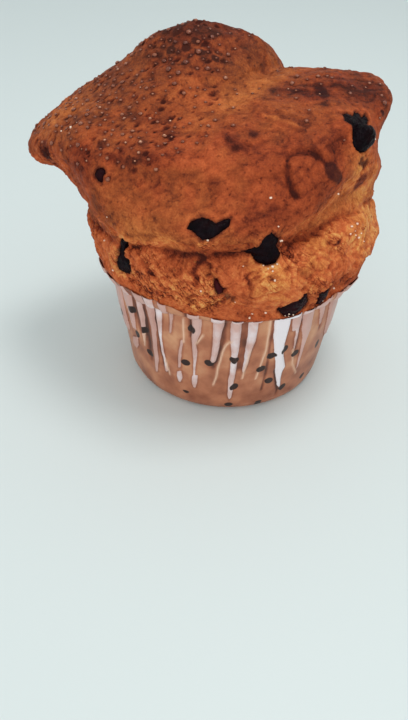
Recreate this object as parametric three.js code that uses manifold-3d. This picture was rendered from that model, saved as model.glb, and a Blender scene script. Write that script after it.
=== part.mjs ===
// A berry muffin in a pleated paper case: a soft collar of crumb bulges over the paper, and a browned cap
// has risen out of it in two lobes, spilling over to the left. Berries and sugar beads show in the crust.
// Millimetres and degrees, +Z up, front towards -Y. The origin is the centre of the case's flat underside.
// An azimuth is turned from the front towards +X, so right is 90 and left is -90.
import * as THREE from "three";
import { ImprovedNoise } from "three/addons/math/ImprovedNoise.js";
import { mergeVertices } from "three/addons/utils/BufferGeometryUtils.js";
import Module from "manifold-3d";

const wasm = await Module();
wasm.setup();

// ---- Driving dimensions ----
const FLOOR_RADIUS = 22; // flat of the case's underside
const FOOT_RADIUS = 24.6; // the wall's foot, above the rounded corner
const FOOT_HEIGHT = 5;
const RIM_RADIUS = 27.7; // paper wall at its top edge, between pleats
const RIM_HEIGHT = 29.2;
const PAPER = 0.5; // thickness of the case's wall, with the grease and crumb that stiffen it
const GAP = 0.3; // clearance between neighbours
const PLEATS = 48;
const PLEAT_DEPTH = 1.1; // a pleat's ridge stands this far out at the rim

const COLLAR_RADIUS = 32.4; // widest part of the crumb above the paper
const COLLAR_HEIGHT = 38.5;
const CREASE_RADIUS = 31; // where the cap tore away from the collar
const CREASE_HEIGHT = 46.2;
const BRIM_RADIUS = 26.5; // the cap's shoulder at the front, where it hardly overhangs
const BRIM_THICKNESS = 3; // from the shoulder's widest place up to the cap's top
const CROWN = new THREE.Vector3(-8.6, 12, 75.9); // highest place
const LOBE = new THREE.Vector3(18, 6, 68.8); // near end of the second lobe's flat top
const FOLD = new THREE.Vector2(8.3, 12); // the fold between crown and lobe, at the back
const FOLD_SLANT = 0.57; // the fold runs this far left for each millimetre towards the front
const FOLD_GROOVE = 1.1; // depth
const LIP_START = -28; // left of here the cap bends down into its lip

// Slopes of the cap's top, each with the roundness of its crest in millimetres.
const CROWN_LEFT = { slope: 0.78, roundness: 7 };
const CROWN_RIGHT = { slope: 0.57, roundness: 5 };
const CROWN_FRONT = { slope: 0.6, roundness: 3 };
const CROWN_BACK = { slope: 1, roundness: 6 };
const FOLD_FLANK = { slope: 1.2, roundness: 2 };
const FLANK_WIDTH = 4.4; // the crown's last steep fall into the fold
const LOBE_FRONT = { slope: 0.2, roundness: 2 };
const LOBE_BACK = { slope: 0.75, roundness: 9 };
const LOBE_LEFT = 0.1;
const LOBE_RIGHT = 0.06;
const LIP_BEND = { slope: 0.55, roundness: 3 };

// How the crumb swells round its axis, each swelling [azimuth, half-width, amount].
const BELLY = [[95, 50, 0.5], [180, 60, 0.8], [-80, 30, -0.8]];
const BELLY_FOOT = [[60, 35, 0.7], [-90, 40, -0.4]];
const CREASE_IN = [[46, 32, -5], [180, 60, -0.6]];
const CREASE_UP = [[55, 30, 4.4], [-57, 23, -2.8]];
const ROLL_OUT = [[-98, 15, 2.4]];
const ROLL_UP = [[75, 35, 2.2], [-90, 30, -0.2]];
const FACE_OUT = [[-98, 13, 1.2], [-72, 12, -1.8], [100, 26, -5], [180, 60, -1]];
const LIP = [[-95, 22, 16.3], [-60, 18, 5.5], [-125, 26, 3.5]];
const LOBE_END = [[96, 24, 3.4], [118, 22, 2]];
const BACK_BRIM = [[180, 62, 8.5]];
const FRONT = [[0, 62, 1]]; // a share: 1 where the shoulder is broad and soft

const CRUMB_COLUMNS = 80; // facets round the crumb, and round the case's inside that it touches

const BEADS = 44; // melted sugar beads on the crown, the largest ones
const BEAD_RADIUS = 0.6;

// Berries that show in the crust: where each comes out, its size across, up and in, and its lean.
// A burst berry also has a flap of skin beside it.
const BERRIES = {
  berry_front_left: { azimuth: -9, height: 51.6, size: [8.6, 4.6, 5], lean: 6 },
  berry_front_right: { azimuth: 12, height: 46.9, size: [7.4, 6.6, 5.4], lean: -20 },
  berry_crown: {
    azimuth: 62,
    height: 62.6,
    size: [5, 5, 5.4],
    lean: 0,
    flap: { azimuth: 57, height: 65, size: [5.4, 4.4, 3.4], lean: 35 },
  },
  berry_left: { azimuth: -44, height: 40.4, size: [3.2, 7.6, 3.4], lean: 10 },
  berry_lip: { azimuth: -53, height: 56, size: [2, 3.2, 2.4], lean: 0 },
  berry_collar: { azimuth: -5, height: 39.8, size: [2.4, 3.6, 2.4], lean: -15 },
  berry_rim_front: { azimuth: 25, height: 32.9, size: [6.2, 4.4, 4], lean: 32 },
  berry_rim_right: { azimuth: 38, height: 33.8, size: [4.4, 3.8, 3.4], lean: 38 },
  berry_back_right: { azimuth: 122, height: 43, size: [6.4, 5, 5], lean: 15 },
  berry_back_cap: { azimuth: 164, height: 54, size: [7.6, 5.2, 5.2], lean: -12 },
  berry_back_left: { azimuth: -137, height: 40, size: [5.6, 6.4, 4.8], lean: 20 },
};

// ---- Helpers ----
const radians = THREE.MathUtils.degToRad;
const lerp = THREE.MathUtils.lerp;
const smoothstep = THREE.MathUtils.smoothstep;
const noise = new ImprovedNoise();

// A value round the axis: a mean with smooth swellings, each [azimuth, half-width, amount].
function around(azimuth, mean, swellings) {
  return swellings.reduce((sum, [centre, width, amount]) => {
    const apart = THREE.MathUtils.euclideanModulo(azimuth - centre + 180, 360) - 180;
    return sum + amount * Math.exp(-((apart / width) ** 2));
  }, mean);
}

// Fall from a rounded crest: flat at first, then a straight slope.
function fall(distance, { slope, roundness }) {
  return Math.sqrt((slope * distance) ** 2 + roundness ** 2) - roundness;
}

function smoothMax(a, b, blend) {
  return (a + b + Math.sqrt((a - b) ** 2 + blend ** 2)) / 2;
}

function polar(azimuth, radius, height) {
  const a = radians(azimuth);
  return new THREE.Vector3(radius * Math.sin(a), -radius * Math.cos(a), height);
}

// A closed skin of rings round the axis, from place(column, row); the first and last rows are poles.
function skin(columns, rows, place) {
  const profile = Array.from({ length: rows }, (_, row) => {
    const atPole = row === 0 || row === rows - 1;
    return new THREE.Vector2(atPole ? 0 : 1, row);
  });
  const geometry = new THREE.LatheGeometry(profile, columns);
  const position = geometry.getAttribute("position");
  for (let column = 0; column <= columns; column++) {
    for (let row = 0; row < rows; row++) {
      const point = place(column % columns, row);
      position.setXYZ(column * rows + row, point.x, point.y, point.z);
    }
  }
  return welded(geometry);
}

// The geometry with only positions, shared vertices merged and collapsed triangles dropped.
function welded(geometry) {
  const bare = geometry.clone();
  bare.deleteAttribute("normal");
  bare.deleteAttribute("uv");
  const merged = mergeVertices(bare, 1e-4);
  const corners = merged.index.array;
  const kept = [];
  for (let i = 0; i < corners.length; i += 3) {
    const [a, b, c] = [corners[i], corners[i + 1], corners[i + 2]];
    if (a !== b && b !== c && c !== a) kept.push(a, b, c);
  }
  merged.setIndex(kept);
  return merged;
}

function solidOf(geometry) {
  return new wasm.Manifold(
    new wasm.Mesh({
      numProp: 3,
      vertProperties: new Float32Array(geometry.getAttribute("position").array),
      triVerts: new Uint32Array(geometry.index.array),
    }),
  );
}

function geometryOf(solid) {
  const mesh = solid.getMesh();
  const geometry = new THREE.BufferGeometry();
  geometry.setAttribute("position", new THREE.BufferAttribute(mesh.vertProperties, 3));
  geometry.setIndex(new THREE.BufferAttribute(mesh.triVerts, 1));
  return geometry;
}

function named(name, geometry, colour, roughness) {
  const shaded = geometry.clone();
  shaded.computeVertexNormals();
  const material = new THREE.MeshStandardMaterial({ color: colour, roughness, metalness: 0 });
  const mesh = new THREE.Mesh(shaded, material);
  mesh.name = name;
  return mesh;
}

// A closed skin with each vertex moved along its normal by amount(point).
function swollen(geometry, amount) {
  const grown = geometry.clone();
  grown.computeVertexNormals();
  const position = grown.getAttribute("position");
  const normal = grown.getAttribute("normal");
  const point = new THREE.Vector3();
  const out = new THREE.Vector3();
  for (let i = 0; i < position.count; i++) {
    point.fromBufferAttribute(position, i);
    out.fromBufferAttribute(normal, i);
    point.addScaledVector(out, amount(point));
    position.setXYZ(i, point.x, point.y, point.z);
  }
  return grown;
}

// ---- The paper case ----
// Radius of the plain wall at a height, on its outside.
function wallRadius(height) {
  if (height >= FOOT_HEIGHT) {
    return lerp(FOOT_RADIUS, RIM_RADIUS, (height - FOOT_HEIGHT) / (RIM_HEIGHT - FOOT_HEIGHT));
  }
  const turn = Math.acos(1 - height / FOOT_HEIGHT);
  return lerp(FLOOR_RADIUS, FOOT_RADIUS, Math.sin(turn));
}

// One pleat is a flat between ridges, a flank, a ridge and a flank: each corner's place in the pitch.
const PLEAT_CORNERS = [
  { at: 0.0, lift: 0 },
  { at: 0.44, lift: 0 },
  { at: 0.6, lift: 1 },
  { at: 0.88, lift: 1 },
];
const FOOT_PLEAT_SHARE = 0.12; // how much of its depth a pleat keeps at the foot

function caseOutside() {
  const heights = [0, 0, 0.6, 2.2, FOOT_HEIGHT, 13, 21, RIM_HEIGHT, RIM_HEIGHT];
  return skin(PLEATS * PLEAT_CORNERS.length, heights.length, (column, row) => {
    const atPole = row === 0 || row === heights.length - 1;
    if (atPole) return polar(0, 0, heights[row]);
    const corner = PLEAT_CORNERS[column % PLEAT_CORNERS.length];
    const pleat = Math.floor(column / PLEAT_CORNERS.length);
    const height = heights[row];
    const rise = Math.max(0, height - FOOT_HEIGHT) / (RIM_HEIGHT - FOOT_HEIGHT);
    const share = lerp(FOOT_PLEAT_SHARE, 1, rise);
    const uneven = 1 + 0.35 * Math.sin(pleat * 2.4) * Math.cos(pleat * 1.1);
    const lift = height > 0 ? PLEAT_DEPTH * share * corner.lift * uneven : 0;
    return polar((360 / PLEATS) * (pleat + corner.at), wallRadius(height) + lift, height);
  });
}

// What the wall encloses, running out through the open top.
function caseHollow() {
  const heights = [PAPER, PAPER, FOOT_HEIGHT / 2, FOOT_HEIGHT, RIM_HEIGHT, RIM_HEIGHT + 1, RIM_HEIGHT + 1];
  return skin(CRUMB_COLUMNS, heights.length, (column, row) => {
    const atPole = row === 0 || row === heights.length - 1;
    const radius = atPole ? 0 : wallRadius(Math.min(heights[row], RIM_HEIGHT)) - PAPER;
    return polar((360 / CRUMB_COLUMNS) * column, radius, heights[row]);
  });
}

function paperCase() {
  return geometryOf(solidOf(caseOutside()).subtract(solidOf(caseHollow())));
}

// ---- The baked crumb ----
// Height of the cap's top at a place: the crown with its steep fold to the right, over a flatter lobe.
function topHeight(x, y) {
  const pastFold = x - FOLD.x + FOLD_SLANT * (FOLD.y - y);
  const pastCrown = Math.max(0, pastFold + FOLD.x - CROWN.x);
  const intoFold = Math.max(0, pastFold + FLANK_WIDTH);
  const crown =
    CROWN.z -
    fall(Math.min(0, x - CROWN.x), CROWN_LEFT) -
    fall(pastCrown, CROWN_RIGHT) -
    fall(intoFold, FOLD_FLANK) -
    fall(y - CROWN.y, y < CROWN.y ? CROWN_FRONT : CROWN_BACK);
  const lobe =
    LOBE.z -
    fall(y - LOBE.y, y < LOBE.y ? LOBE_FRONT : LOBE_BACK) -
    LOBE_LEFT * Math.max(0, LOBE.x - x) -
    LOBE_RIGHT * Math.max(0, x - LOBE.x) -
    fall(Math.min(0, x - LIP_START), LIP_BEND);
  const groove = FOLD_GROOVE * Math.exp(-((pastFold / 2) ** 2)) * smoothstep(y, -1, 9);
  return smoothMax(crown, lobe, 1.8) - groove;
}

const INSET = PAPER + GAP; // the crumb's clearance inside the case's outer face

// The rings that shape the crumb at one azimuth, from the floor's centre to the pole of the cap.
function crumbRings(azimuth) {
  const ring = (radius, height) => new THREE.Vector3(radius, height, 0);
  const belly = around(azimuth, COLLAR_RADIUS, BELLY);
  const crease = around(azimuth, CREASE_RADIUS, CREASE_IN);
  const creaseHeight = around(azimuth, CREASE_HEIGHT, CREASE_UP);
  const rollRadius = crease + around(azimuth, 1.5, ROLL_OUT);
  const rollHeight = creaseHeight + around(azimuth, 2.6, ROLL_UP);
  const frontness = around(azimuth, 0, FRONT);
  const brim = around(azimuth, BRIM_RADIUS, [...LIP, ...LOBE_END, ...BACK_BRIM]);
  const brimPoint = polar(azimuth, brim, 0);
  const brimHeight = topHeight(brimPoint.x, brimPoint.y) - BRIM_THICKNESS - 2 * frontness;
  const faceRadius = lerp(rollRadius, brim, 0.5) + around(azimuth, 1.7, FACE_OUT);
  const sides = [
    ring(0, INSET),
    ring(FLOOR_RADIUS - INSET, INSET),
    ring(wallRadius(FOOT_HEIGHT) - INSET, FOOT_HEIGHT),
    ring(RIM_RADIUS - INSET, RIM_HEIGHT - 0.6),
    ring(RIM_RADIUS - INSET + 0.5, RIM_HEIGHT + GAP + 0.3),
    ring(RIM_RADIUS + 1.6, RIM_HEIGHT + 1),
    ring(around(azimuth, COLLAR_RADIUS - 2, BELLY_FOOT), RIM_HEIGHT + 3.6),
    ring(belly, COLLAR_HEIGHT),
    ring(lerp(belly, crease, 0.35), lerp(COLLAR_HEIGHT, creaseHeight, 0.6)),
    ring(crease, creaseHeight),
    ring(rollRadius, rollHeight),
    ring(faceRadius, lerp(rollHeight, brimHeight, 0.45)),
    ring(brim, brimHeight),
  ];
  const top = [0.94, 0.8, 0.62, 0.42, 0.2, 0].map((share) => {
    const place = polar(azimuth, brim * share, 0);
    const shoulder = (0.7 + 1.8 * frontness) * smoothstep(share, 0.7, 0.94);
    return ring(brim * share, topHeight(place.x, place.y) - shoulder);
  });
  return [...sides, ...top];
}

// Rows of the mesh between one ring and the next: closest together where the crust turns.
const ROWS_BETWEEN = [1, 1, 1, 1, 1, 2, 3, 2, 2, 2, 3, 3, 2, 3, 2, 2, 2, 2];

function crumbPoint(azimuth, rowPlace) {
  const path = new THREE.CatmullRomCurve3(crumbRings(azimuth), false, "centripetal");
  const place = path.getPoint(rowPlace);
  const height = Math.max(INSET, place.y);
  const widest = height < RIM_HEIGHT + GAP ? wallRadius(height) - INSET : Infinity;
  return polar(azimuth, THREE.MathUtils.clamp(place.x, 0, widest), height);
}

// Places of the rows along the path of rings, from 0 to 1.
function rowPlaces() {
  const spans = ROWS_BETWEEN.length;
  const places = [0];
  ROWS_BETWEEN.forEach((rows, span) => {
    for (let row = 1; row <= rows; row++) places.push((span + row / rows) / spans);
  });
  return places;
}

// Uneven rising: the crust swells and dimples along its normal, more on the torn collar than on the cap.
function rising(point) {
  const free = smoothstep(point.z, RIM_HEIGHT + 2, RIM_HEIGHT + 5);
  const torn = 1 - smoothstep(point.z, CREASE_HEIGHT, CREASE_HEIGHT + 6);
  const broad = noise.noise(point.x / 9, point.y / 9, point.z / 9);
  const fine = noise.noise(point.x / 4 + 20, point.y / 4, point.z / 4);
  return free * (lerp(0.9, 1.2, torn) * broad + lerp(0.25, 1.1, torn) * fine);
}

function crumb() {
  const places = rowPlaces();
  const smooth = skin(CRUMB_COLUMNS, places.length, (column, row) =>
    crumbPoint((360 / CRUMB_COLUMNS) * column, places[row]),
  );
  return swollen(smooth, rising);
}

// ---- Berries ----
// Where a ray from the axis, or straight down, meets the crust: the place and the direction out of it.
function landing(crust, origin, direction, last) {
  const hits = new THREE.Raycaster(origin, direction).intersectObject(crust);
  const hit = last ? hits.at(-1) : hits[0];
  return { point: hit.point, out: hit.face.normal.clone() };
}

// A baked berry: a lumpy ball, flattened to its size and turned to lie in the crust.
function berry(crust, { azimuth, height, size, lean }) {
  const detail = size[0] > 7 ? 2 : 1;
  const ball = welded(new THREE.IcosahedronGeometry(0.5, detail));
  const lumpy = swollen(ball, ({ x, y, z }) => 0.16 * noise.noise(2.6 * x + azimuth, 2.6 * y, 2.6 * z));
  const axisPoint = new THREE.Vector3(0, 0, height);
  const { point, out } = landing(crust, axisPoint, polar(azimuth, 1, 0), true);
  const across = new THREE.Vector3(0, 0, 1).cross(out).normalize();
  const up = out.clone().cross(across);
  const turn = new THREE.Matrix4().makeBasis(across, up, out);
  const sunk = point.clone().addScaledVector(out, -0.24 * size[2]);
  lumpy.scale(...size);
  lumpy.rotateZ(radians(lean));
  lumpy.applyMatrix4(turn);
  lumpy.translate(sunk.x, sunk.y, sunk.z);
  return lumpy;
}

// ---- Sugar beads ----
// Beads gather on the crown's front and left flank and thin out towards the lip.
function beads(crust) {
  const made = [];
  const down = new THREE.Vector3(0, 0, -1);
  for (let i = 0; made.length < BEADS; i++) {
    const place = new THREE.Vector2(
      lerp(-35, 6, THREE.MathUtils.seededRandom(2 * i + 11)),
      lerp(-15, 17, THREE.MathUtils.seededRandom(2 * i + 12)),
    );
    const crowding = Math.exp(-(((place.x + 15) / 15) ** 2) - ((place.y - 1) / 12) ** 2);
    if (THREE.MathUtils.seededRandom(5000 + i) > crowding) continue;
    const { point } = landing(crust, new THREE.Vector3(place.x, place.y, 90), down, false);
    const bead = welded(new THREE.IcosahedronGeometry(BEAD_RADIUS, 0));
    bead.translate(point.x, point.y, point.z + 0.1 * BEAD_RADIUS);
    made.push(bead);
  }
  return made;
}

// ---- Assembly ----
const muffin = new THREE.Group();
muffin.name = "muffin";
muffin.add(named("paper_case", paperCase(), 0xb98a72, 0.6));

const crumbSkin = crumb();
const crust = new THREE.Mesh(crumbSkin, new THREE.MeshBasicMaterial({ side: THREE.DoubleSide }));
let crumbSolid = solidOf(crumbSkin);
for (const [name, shape] of Object.entries(BERRIES)) {
  const lumps = [shape, shape.flap].filter(Boolean).map((lump) => berry(crust, lump));
  const body = lumps.map(solidOf).reduce((joined, lump) => joined.add(lump));
  const pockets = lumps.map((lump) => solidOf(swollen(lump, () => GAP)));
  crumbSolid = pockets.reduce((left, pocket) => left.subtract(pocket), crumbSolid);
  muffin.add(named(name, geometryOf(body), 0x16141d, 0.35));
}
crumbSolid = beads(crust).reduce((joined, bead) => joined.add(solidOf(bead)), crumbSolid);
muffin.add(named("crumb", geometryOf(crumbSolid), 0xa8602f, 0.7));

export default muffin;
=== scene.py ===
# %% [markdown]
# # A berry muffin in its paper case
#
# A muffin is thick batter baked in a pleated paper cup. The batter sets first where it touches the paper, so
# the last of the rising tears it open just above the rim: the cap lifts off a soft, torn collar and browns on
# top. This one has risen in two lobes and has spilled over its left side, with a deep fold between the lobes.
#
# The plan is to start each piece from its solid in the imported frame, which already has the right size and
# place, and to give it what a solid leaves out: pores, cracks, wrinkles, pleats, sugar and browning.

import math
import random

import bmesh
import bpy
import numpy as np
from mathutils import Matrix, Vector, noise
from mathutils.bvhtree import BVHTree
from mathutils.kdtree import KDTree


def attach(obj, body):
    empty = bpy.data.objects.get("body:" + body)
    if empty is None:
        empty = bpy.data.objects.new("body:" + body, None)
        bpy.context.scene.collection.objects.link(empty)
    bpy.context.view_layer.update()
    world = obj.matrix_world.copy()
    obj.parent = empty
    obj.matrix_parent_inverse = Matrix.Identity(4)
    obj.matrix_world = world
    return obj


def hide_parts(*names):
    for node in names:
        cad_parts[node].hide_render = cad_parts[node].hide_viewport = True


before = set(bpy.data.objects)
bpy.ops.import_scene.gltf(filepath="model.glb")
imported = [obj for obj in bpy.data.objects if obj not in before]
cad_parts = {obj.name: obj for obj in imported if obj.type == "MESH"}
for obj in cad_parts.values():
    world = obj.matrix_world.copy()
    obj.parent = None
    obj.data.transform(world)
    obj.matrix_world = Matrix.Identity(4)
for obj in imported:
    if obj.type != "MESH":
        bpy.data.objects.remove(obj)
MM = 0.001
scene = bpy.context.scene
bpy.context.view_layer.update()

# %% [markdown]
# ## Colours and nodes
#
# Colour pickers give sRGB values, but a shader mixes linear light, so every colour is turned once, by one
# function. Node trees get long when each node takes five lines, so one function adds a node, sets it, links
# it and hands back the output that is read next.


# %% One function for colours, one for nodes
def linear(colour):
    """An sRGB hex colour as linear RGBA."""
    parts = [int(colour[i : i + 2], 16) / 255 for i in (1, 3, 5)]
    return [c / 12.92 if c <= 0.04045 else ((c + 0.055) / 1.055) ** 2.4 for c in parts] + [1.0]


def add(tree, kind, settings=None, inputs=None, stops=(), output=0):
    """Adds a node: settings, input values or links, stops of its ramp. Gives the output that is read next."""
    node = tree.nodes.new("ShaderNode" + kind)
    for name, value in (settings or {}).items():
        setattr(node, name, value)
    for name, value in (inputs or {}).items():
        if isinstance(value, bpy.types.NodeSocket):
            tree.links.new(value, node.inputs[name])
        else:
            node.inputs[name].default_value = value
    for i, (place, colour) in enumerate(stops):
        ramp = node.color_ramp.elements
        stop = ramp[i] if i < 2 else ramp.new(place)
        stop.position = place
        stop.color = linear(colour)
    return node.outputs[output] if node.outputs else None


def new_material(name):
    """A material with an empty node tree, and that tree."""
    material = bpy.data.materials.new(name)
    material.use_nodes = True
    material.node_tree.nodes.clear()
    return material, material.node_tree


print("mid brown in linear light:", [round(c, 3) for c in linear("#95502e")])

# %% [markdown]
# ## Camera, floor and light
#
# The muffin is seen from above at 40 degrees, from close by, so the camera needs a short lens: from 17 cm
# away the cap looks larger than the case under it. A lens of 32 mm on a 36 mm sensor gives that look.
#
# Food looks soft under a large light. A bright, even sky does most of the work, as in a white kitchen. A lamp
# above, a little to the right, gives the small glints on sugar and berries, and a broad window low in front
# lights the collar and the paper, which the overhanging cap would otherwise leave in the dark.

# %% Camera
PITCH, ROLL = math.radians(40.0), math.radians(1.6)
EYE = Vector((-5.2, -133.0, 107.1)) * MM
MIDDLE = Vector((0, 0, 40)) * MM

forward = Vector((0, math.cos(PITCH), -math.sin(PITCH)))
level_up = Vector((0, math.sin(PITCH), math.cos(PITCH)))
right = Vector((1, 0, 0)) * math.cos(ROLL) + level_up * math.sin(ROLL)
up = level_up * math.cos(ROLL) - Vector((1, 0, 0)) * math.sin(ROLL)

camera = bpy.data.objects.new("camera", bpy.data.cameras.new("camera"))
camera.data.lens = 32
camera.data.sensor_width = 36
camera.data.clip_start = 0.01
camera.matrix_world = Matrix.Translation(EYE) @ Matrix((right, up, -forward)).transposed().to_4x4()
scene.collection.objects.link(camera)
scene.camera = camera
scene.view_settings.view_transform = "Standard"
print("camera is", round((EYE - MIDDLE).length / MM), "mm from the muffin's middle")

# %% Floor
FLOOR_RADIUS = 3.0
material, tree = new_material("matte_white_tabletop")
white_board = {"Base Color": linear("#d8e0e0"), "Roughness": 0.5, "Specular IOR Level": 0.3}
shader = add(tree, "BsdfPrincipled", inputs=white_board)
add(tree, "OutputMaterial", inputs={"Surface": shader})

bm = bmesh.new()
bmesh.ops.create_circle(bm, cap_ends=True, segments=64, radius=FLOOR_RADIUS)
floor = bpy.data.objects.new("floor", bpy.data.meshes.new("floor"))
bm.to_mesh(floor.data)
bm.free()
floor.data.materials.append(material)
scene.collection.objects.link(floor)
print("floor is", 2 * FLOOR_RADIUS, "m across")

# %% Light
SKY_COLOUR = (0.93, 1.0, 1.0, 1)
SKY_STRENGTH = 0.72
LAMPS = [  # name, place, size, watts
    ("broad_lamp", (0.12, -0.02, 0.6), 0.2, 1.15),
    ("front_window", (-0.12, -0.62, 0.26), 0.5, 1.3),
]
for name, place, size, watts in LAMPS:
    lamp = bpy.data.objects.new(name, bpy.data.lights.new(name, "AREA"))
    lamp.data.shape = "SQUARE"
    lamp.data.size = size
    lamp.data.energy = watts
    lamp.data.color = (1.0, 0.99, 0.97)
    away = Vector(place) - MIDDLE
    lamp.matrix_world = Matrix.Translation(place) @ away.to_track_quat("Z", "Y").to_matrix().to_4x4()
    scene.collection.objects.link(lamp)

world = bpy.data.worlds.new("bright_room")
world.use_nodes = True
sky = world.node_tree.nodes["Background"]
sky.inputs["Color"].default_value = SKY_COLOUR
sky.inputs["Strength"].default_value = SKY_STRENGTH
scene.world = world
print(len(LAMPS), "lamps under a sky of strength", SKY_STRENGTH)

# %% [markdown]
# ## Measuring tools for a lumpy thing
#
# The crust is shaped by moving thousands of points a little, so these helpers work on all points at once, in
# millimetres. Perlin noise gives soft lumps of a chosen width, and a distance to a path makes cracks and
# folds.


# %% Helpers for points in millimetres
def grain(points, size, shift=0.0, stretch=(1, 1, 1)):
    """Soft noise from about -1 to 1 with lumps `size` mm wide."""
    scaled = points / (size * np.array(stretch)) + shift
    return np.array([noise.noise(p) for p in scaled.tolist()])


def eased(values, low, high):
    """0 below low, 1 above high, and a smooth rise between."""
    t = np.clip((values - low) / (high - low), 0, 1)
    return t * t * (3 - 2 * t)


def distance_to_path(points, path):
    """Distance from each point to a line through a few places."""
    path = np.array(path, float)
    best = np.full(len(points), 1e9)
    for start, end in zip(path[:-1], path[1:]):
        along = end - start
        t = np.clip((points - start) @ along / (along @ along), 0, 1)
        best = np.minimum(best, np.linalg.norm(points - start - t[:, None] * along, axis=1))
    return best


def inside_outline(points, outline):
    """How far inside a closed flat outline each point lies, negative outside it."""
    closed = outline + outline[:1]
    inside = np.zeros(len(points), bool)
    for (x0, y0), (x1, y1) in zip(closed[:-1], closed[1:]):
        crossed = (y0 > points[:, 1]) != (y1 > points[:, 1])
        inside ^= crossed & (points[:, 0] < (x1 - x0) * (points[:, 1] - y0) / ((y1 - y0) or 1e-9) + x0)
    edge = distance_to_path(points, closed)
    return np.where(inside, edge, -edge)


def bell(distance, width):
    """1 at no distance, fading out over about `width`."""
    return np.exp(-((distance / width) ** 2))


def azimuths(points):
    """Degrees round the axis from the front, right positive."""
    return np.degrees(np.arctan2(points[:, 0], -points[:, 1]))


print("the right side is at", azimuths(np.array([[1.0, 0.0]]))[0], "degrees")


# %% Helpers that read, move, paint and finish a mesh
def read_points(bm):
    """The points of a bmesh, in mm."""
    return np.array([v.co for v in bm.verts]) / MM


def write_points(bm, points):
    """Moves the points of a bmesh to places in mm."""
    for v, place in zip(bm.verts, (points * MM).tolist()):
        v.co = place
    bm.normal_update()


def paint(bm, name, values):
    """Writes a number or a vector per point as an attribute that a material can read."""
    kinds = bm.verts.layers
    layer = (kinds.float if values.ndim == 1 else kinds.float_vector).new(name)
    for v, value in zip(bm.verts, values.tolist()):
        v[layer] = value


def finished(bm, name, material, replaces=()):
    """Turns a bmesh into a smooth-shaded piece that rides with the muffin."""
    piece = bpy.data.objects.new(name, bpy.data.meshes.new(name))
    bm.to_mesh(piece.data)
    bm.free()
    piece.data.shade_smooth()
    piece.data.materials.append(material)
    scene.collection.objects.link(piece)
    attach(piece, "root")
    for node in replaces:
        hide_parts(node)
    print(name, len(piece.data.polygons), "faces")
    return piece

# %% [markdown]
# ## The crumb, step one: an even skin
#
# The solid has long facets, too coarse to carry pores. A voxel remesh turns it into small even quads, and a
# few rounds of smoothing take the stair-steps off. The berries go into the same remesh, which closes the
# slits round them, so that the crust can grow over their edges later. What the paper hides is cut away below
# the rim and closed with a plain skirt, so that the quads are spent where they show.

# %% Even quads from the solids
CRUMB_VOXEL = 0.44 * MM
SKIRT_TOP = 27.6 * MM
ALL_AXES = {"use_axis_x": True, "use_axis_y": True, "use_axis_z": True}


def remeshed(bm, voxel, rounds):
    """The same shape in small even quads, smoothed a few rounds."""
    holder = bpy.data.objects.new("holder", bpy.data.meshes.new("holder"))
    bm.to_mesh(holder.data)
    bm.free()
    scene.collection.objects.link(holder)
    remesh = holder.modifiers.new("even quads", "REMESH")
    remesh.mode = "VOXEL"
    remesh.voxel_size = voxel
    even = bpy.data.meshes.new_from_object(holder.evaluated_get(bpy.context.evaluated_depsgraph_get()))
    bpy.data.objects.remove(holder)
    bm = bmesh.new()
    bm.from_mesh(even)
    bpy.data.meshes.remove(even)
    for _ in range(rounds):
        bmesh.ops.smooth_vert(bm, verts=bm.verts, factor=0.5, **ALL_AXES)
    return bm


berry_names = [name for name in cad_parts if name.startswith("berry")]
bm = bmesh.new()
for name in ["crumb", *berry_names]:
    bm.from_mesh(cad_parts[name].data)
bmesh.ops.remove_doubles(bm, verts=bm.verts, dist=1e-6)
crumb = remeshed(bm, CRUMB_VOXEL, 8)
everything = crumb.verts[:] + crumb.edges[:] + crumb.faces[:]
foot = (0, 0, SKIRT_TOP)
bmesh.ops.bisect_plane(crumb, geom=everything, plane_co=foot, plane_no=(0, 0, 1), clear_inner=True)
print("even skin:", len(crumb.faces), "quads")

# %% A plain skirt down into the case
SKIRT = [(0.87, 5 * MM), (0.78, 0.9 * MM)]

rim = [e for e in crumb.edges if e.is_boundary]
for share, height in SKIRT:
    made = bmesh.ops.extrude_edge_only(crumb, edges=rim)["geom"]
    rim = [g for g in made if isinstance(g, bmesh.types.BMEdge)]
    for v in {v for e in rim for v in e.verts}:
        v.co = Vector((v.co.x * share, v.co.y * share, height))
bmesh.ops.holes_fill(crumb, edges=rim, sides=0)
bmesh.ops.recalc_face_normals(crumb, faces=crumb.faces)
crumb.normal_update()
crumb.verts.index_update()
skin = read_points(crumb)
normals = np.array([v.normal for v in crumb.verts])
print("crumb reaches", skin.min(0).round(1), "to", skin.max(0).round(1), "mm")

# %% [markdown]
# ## The crumb, step two: where the crust changes
#
# A baker would name a few places: the crease where the cap tore off the collar, the torn underside of the
# lip, the fold between the lobes, a shoulder line under the sugared crown, and a crack round a berry that
# lies just under the crust. Each is a short path or a height by azimuth; how near a point is to it decides
# its relief and browning.

# %% Where the cap tore off the collar, and how high the paper baked it
CREASE = [  # azimuth, height of the tear between collar and cap
    (-180, 45.6), (-115, 43.6), (-90, 42.0), (-73, 41.2), (-57, 42.1), (-46, 43.2), (-29, 45.0), (-10, 46.0),
    (4, 46.6), (23, 47.4), (50, 48.4), (68, 47.7), (83, 46.1), (110, 45.4), (180, 45.6),
]
BAKED_RIM = [  # azimuth, height up to which the paper has baked the collar smooth and brown
    (-180, 34), (-100, 35.4), (-60, 36.2), (-42, 35.4), (-30, 34.4), (-20, 32.9), (-12, 33.2), (-6, 36.4),
    (-3, 37.4), (0.5, 35.8), (6, 33.4), (14, 32.4), (22, 32.2), (32, 33.2), (48, 35.2), (70, 36), (110, 34.4),
    (180, 34),
]
print("the crease is", CREASE[0][1], "mm up at the back and", CREASE[8][1], "mm in front")

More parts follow.
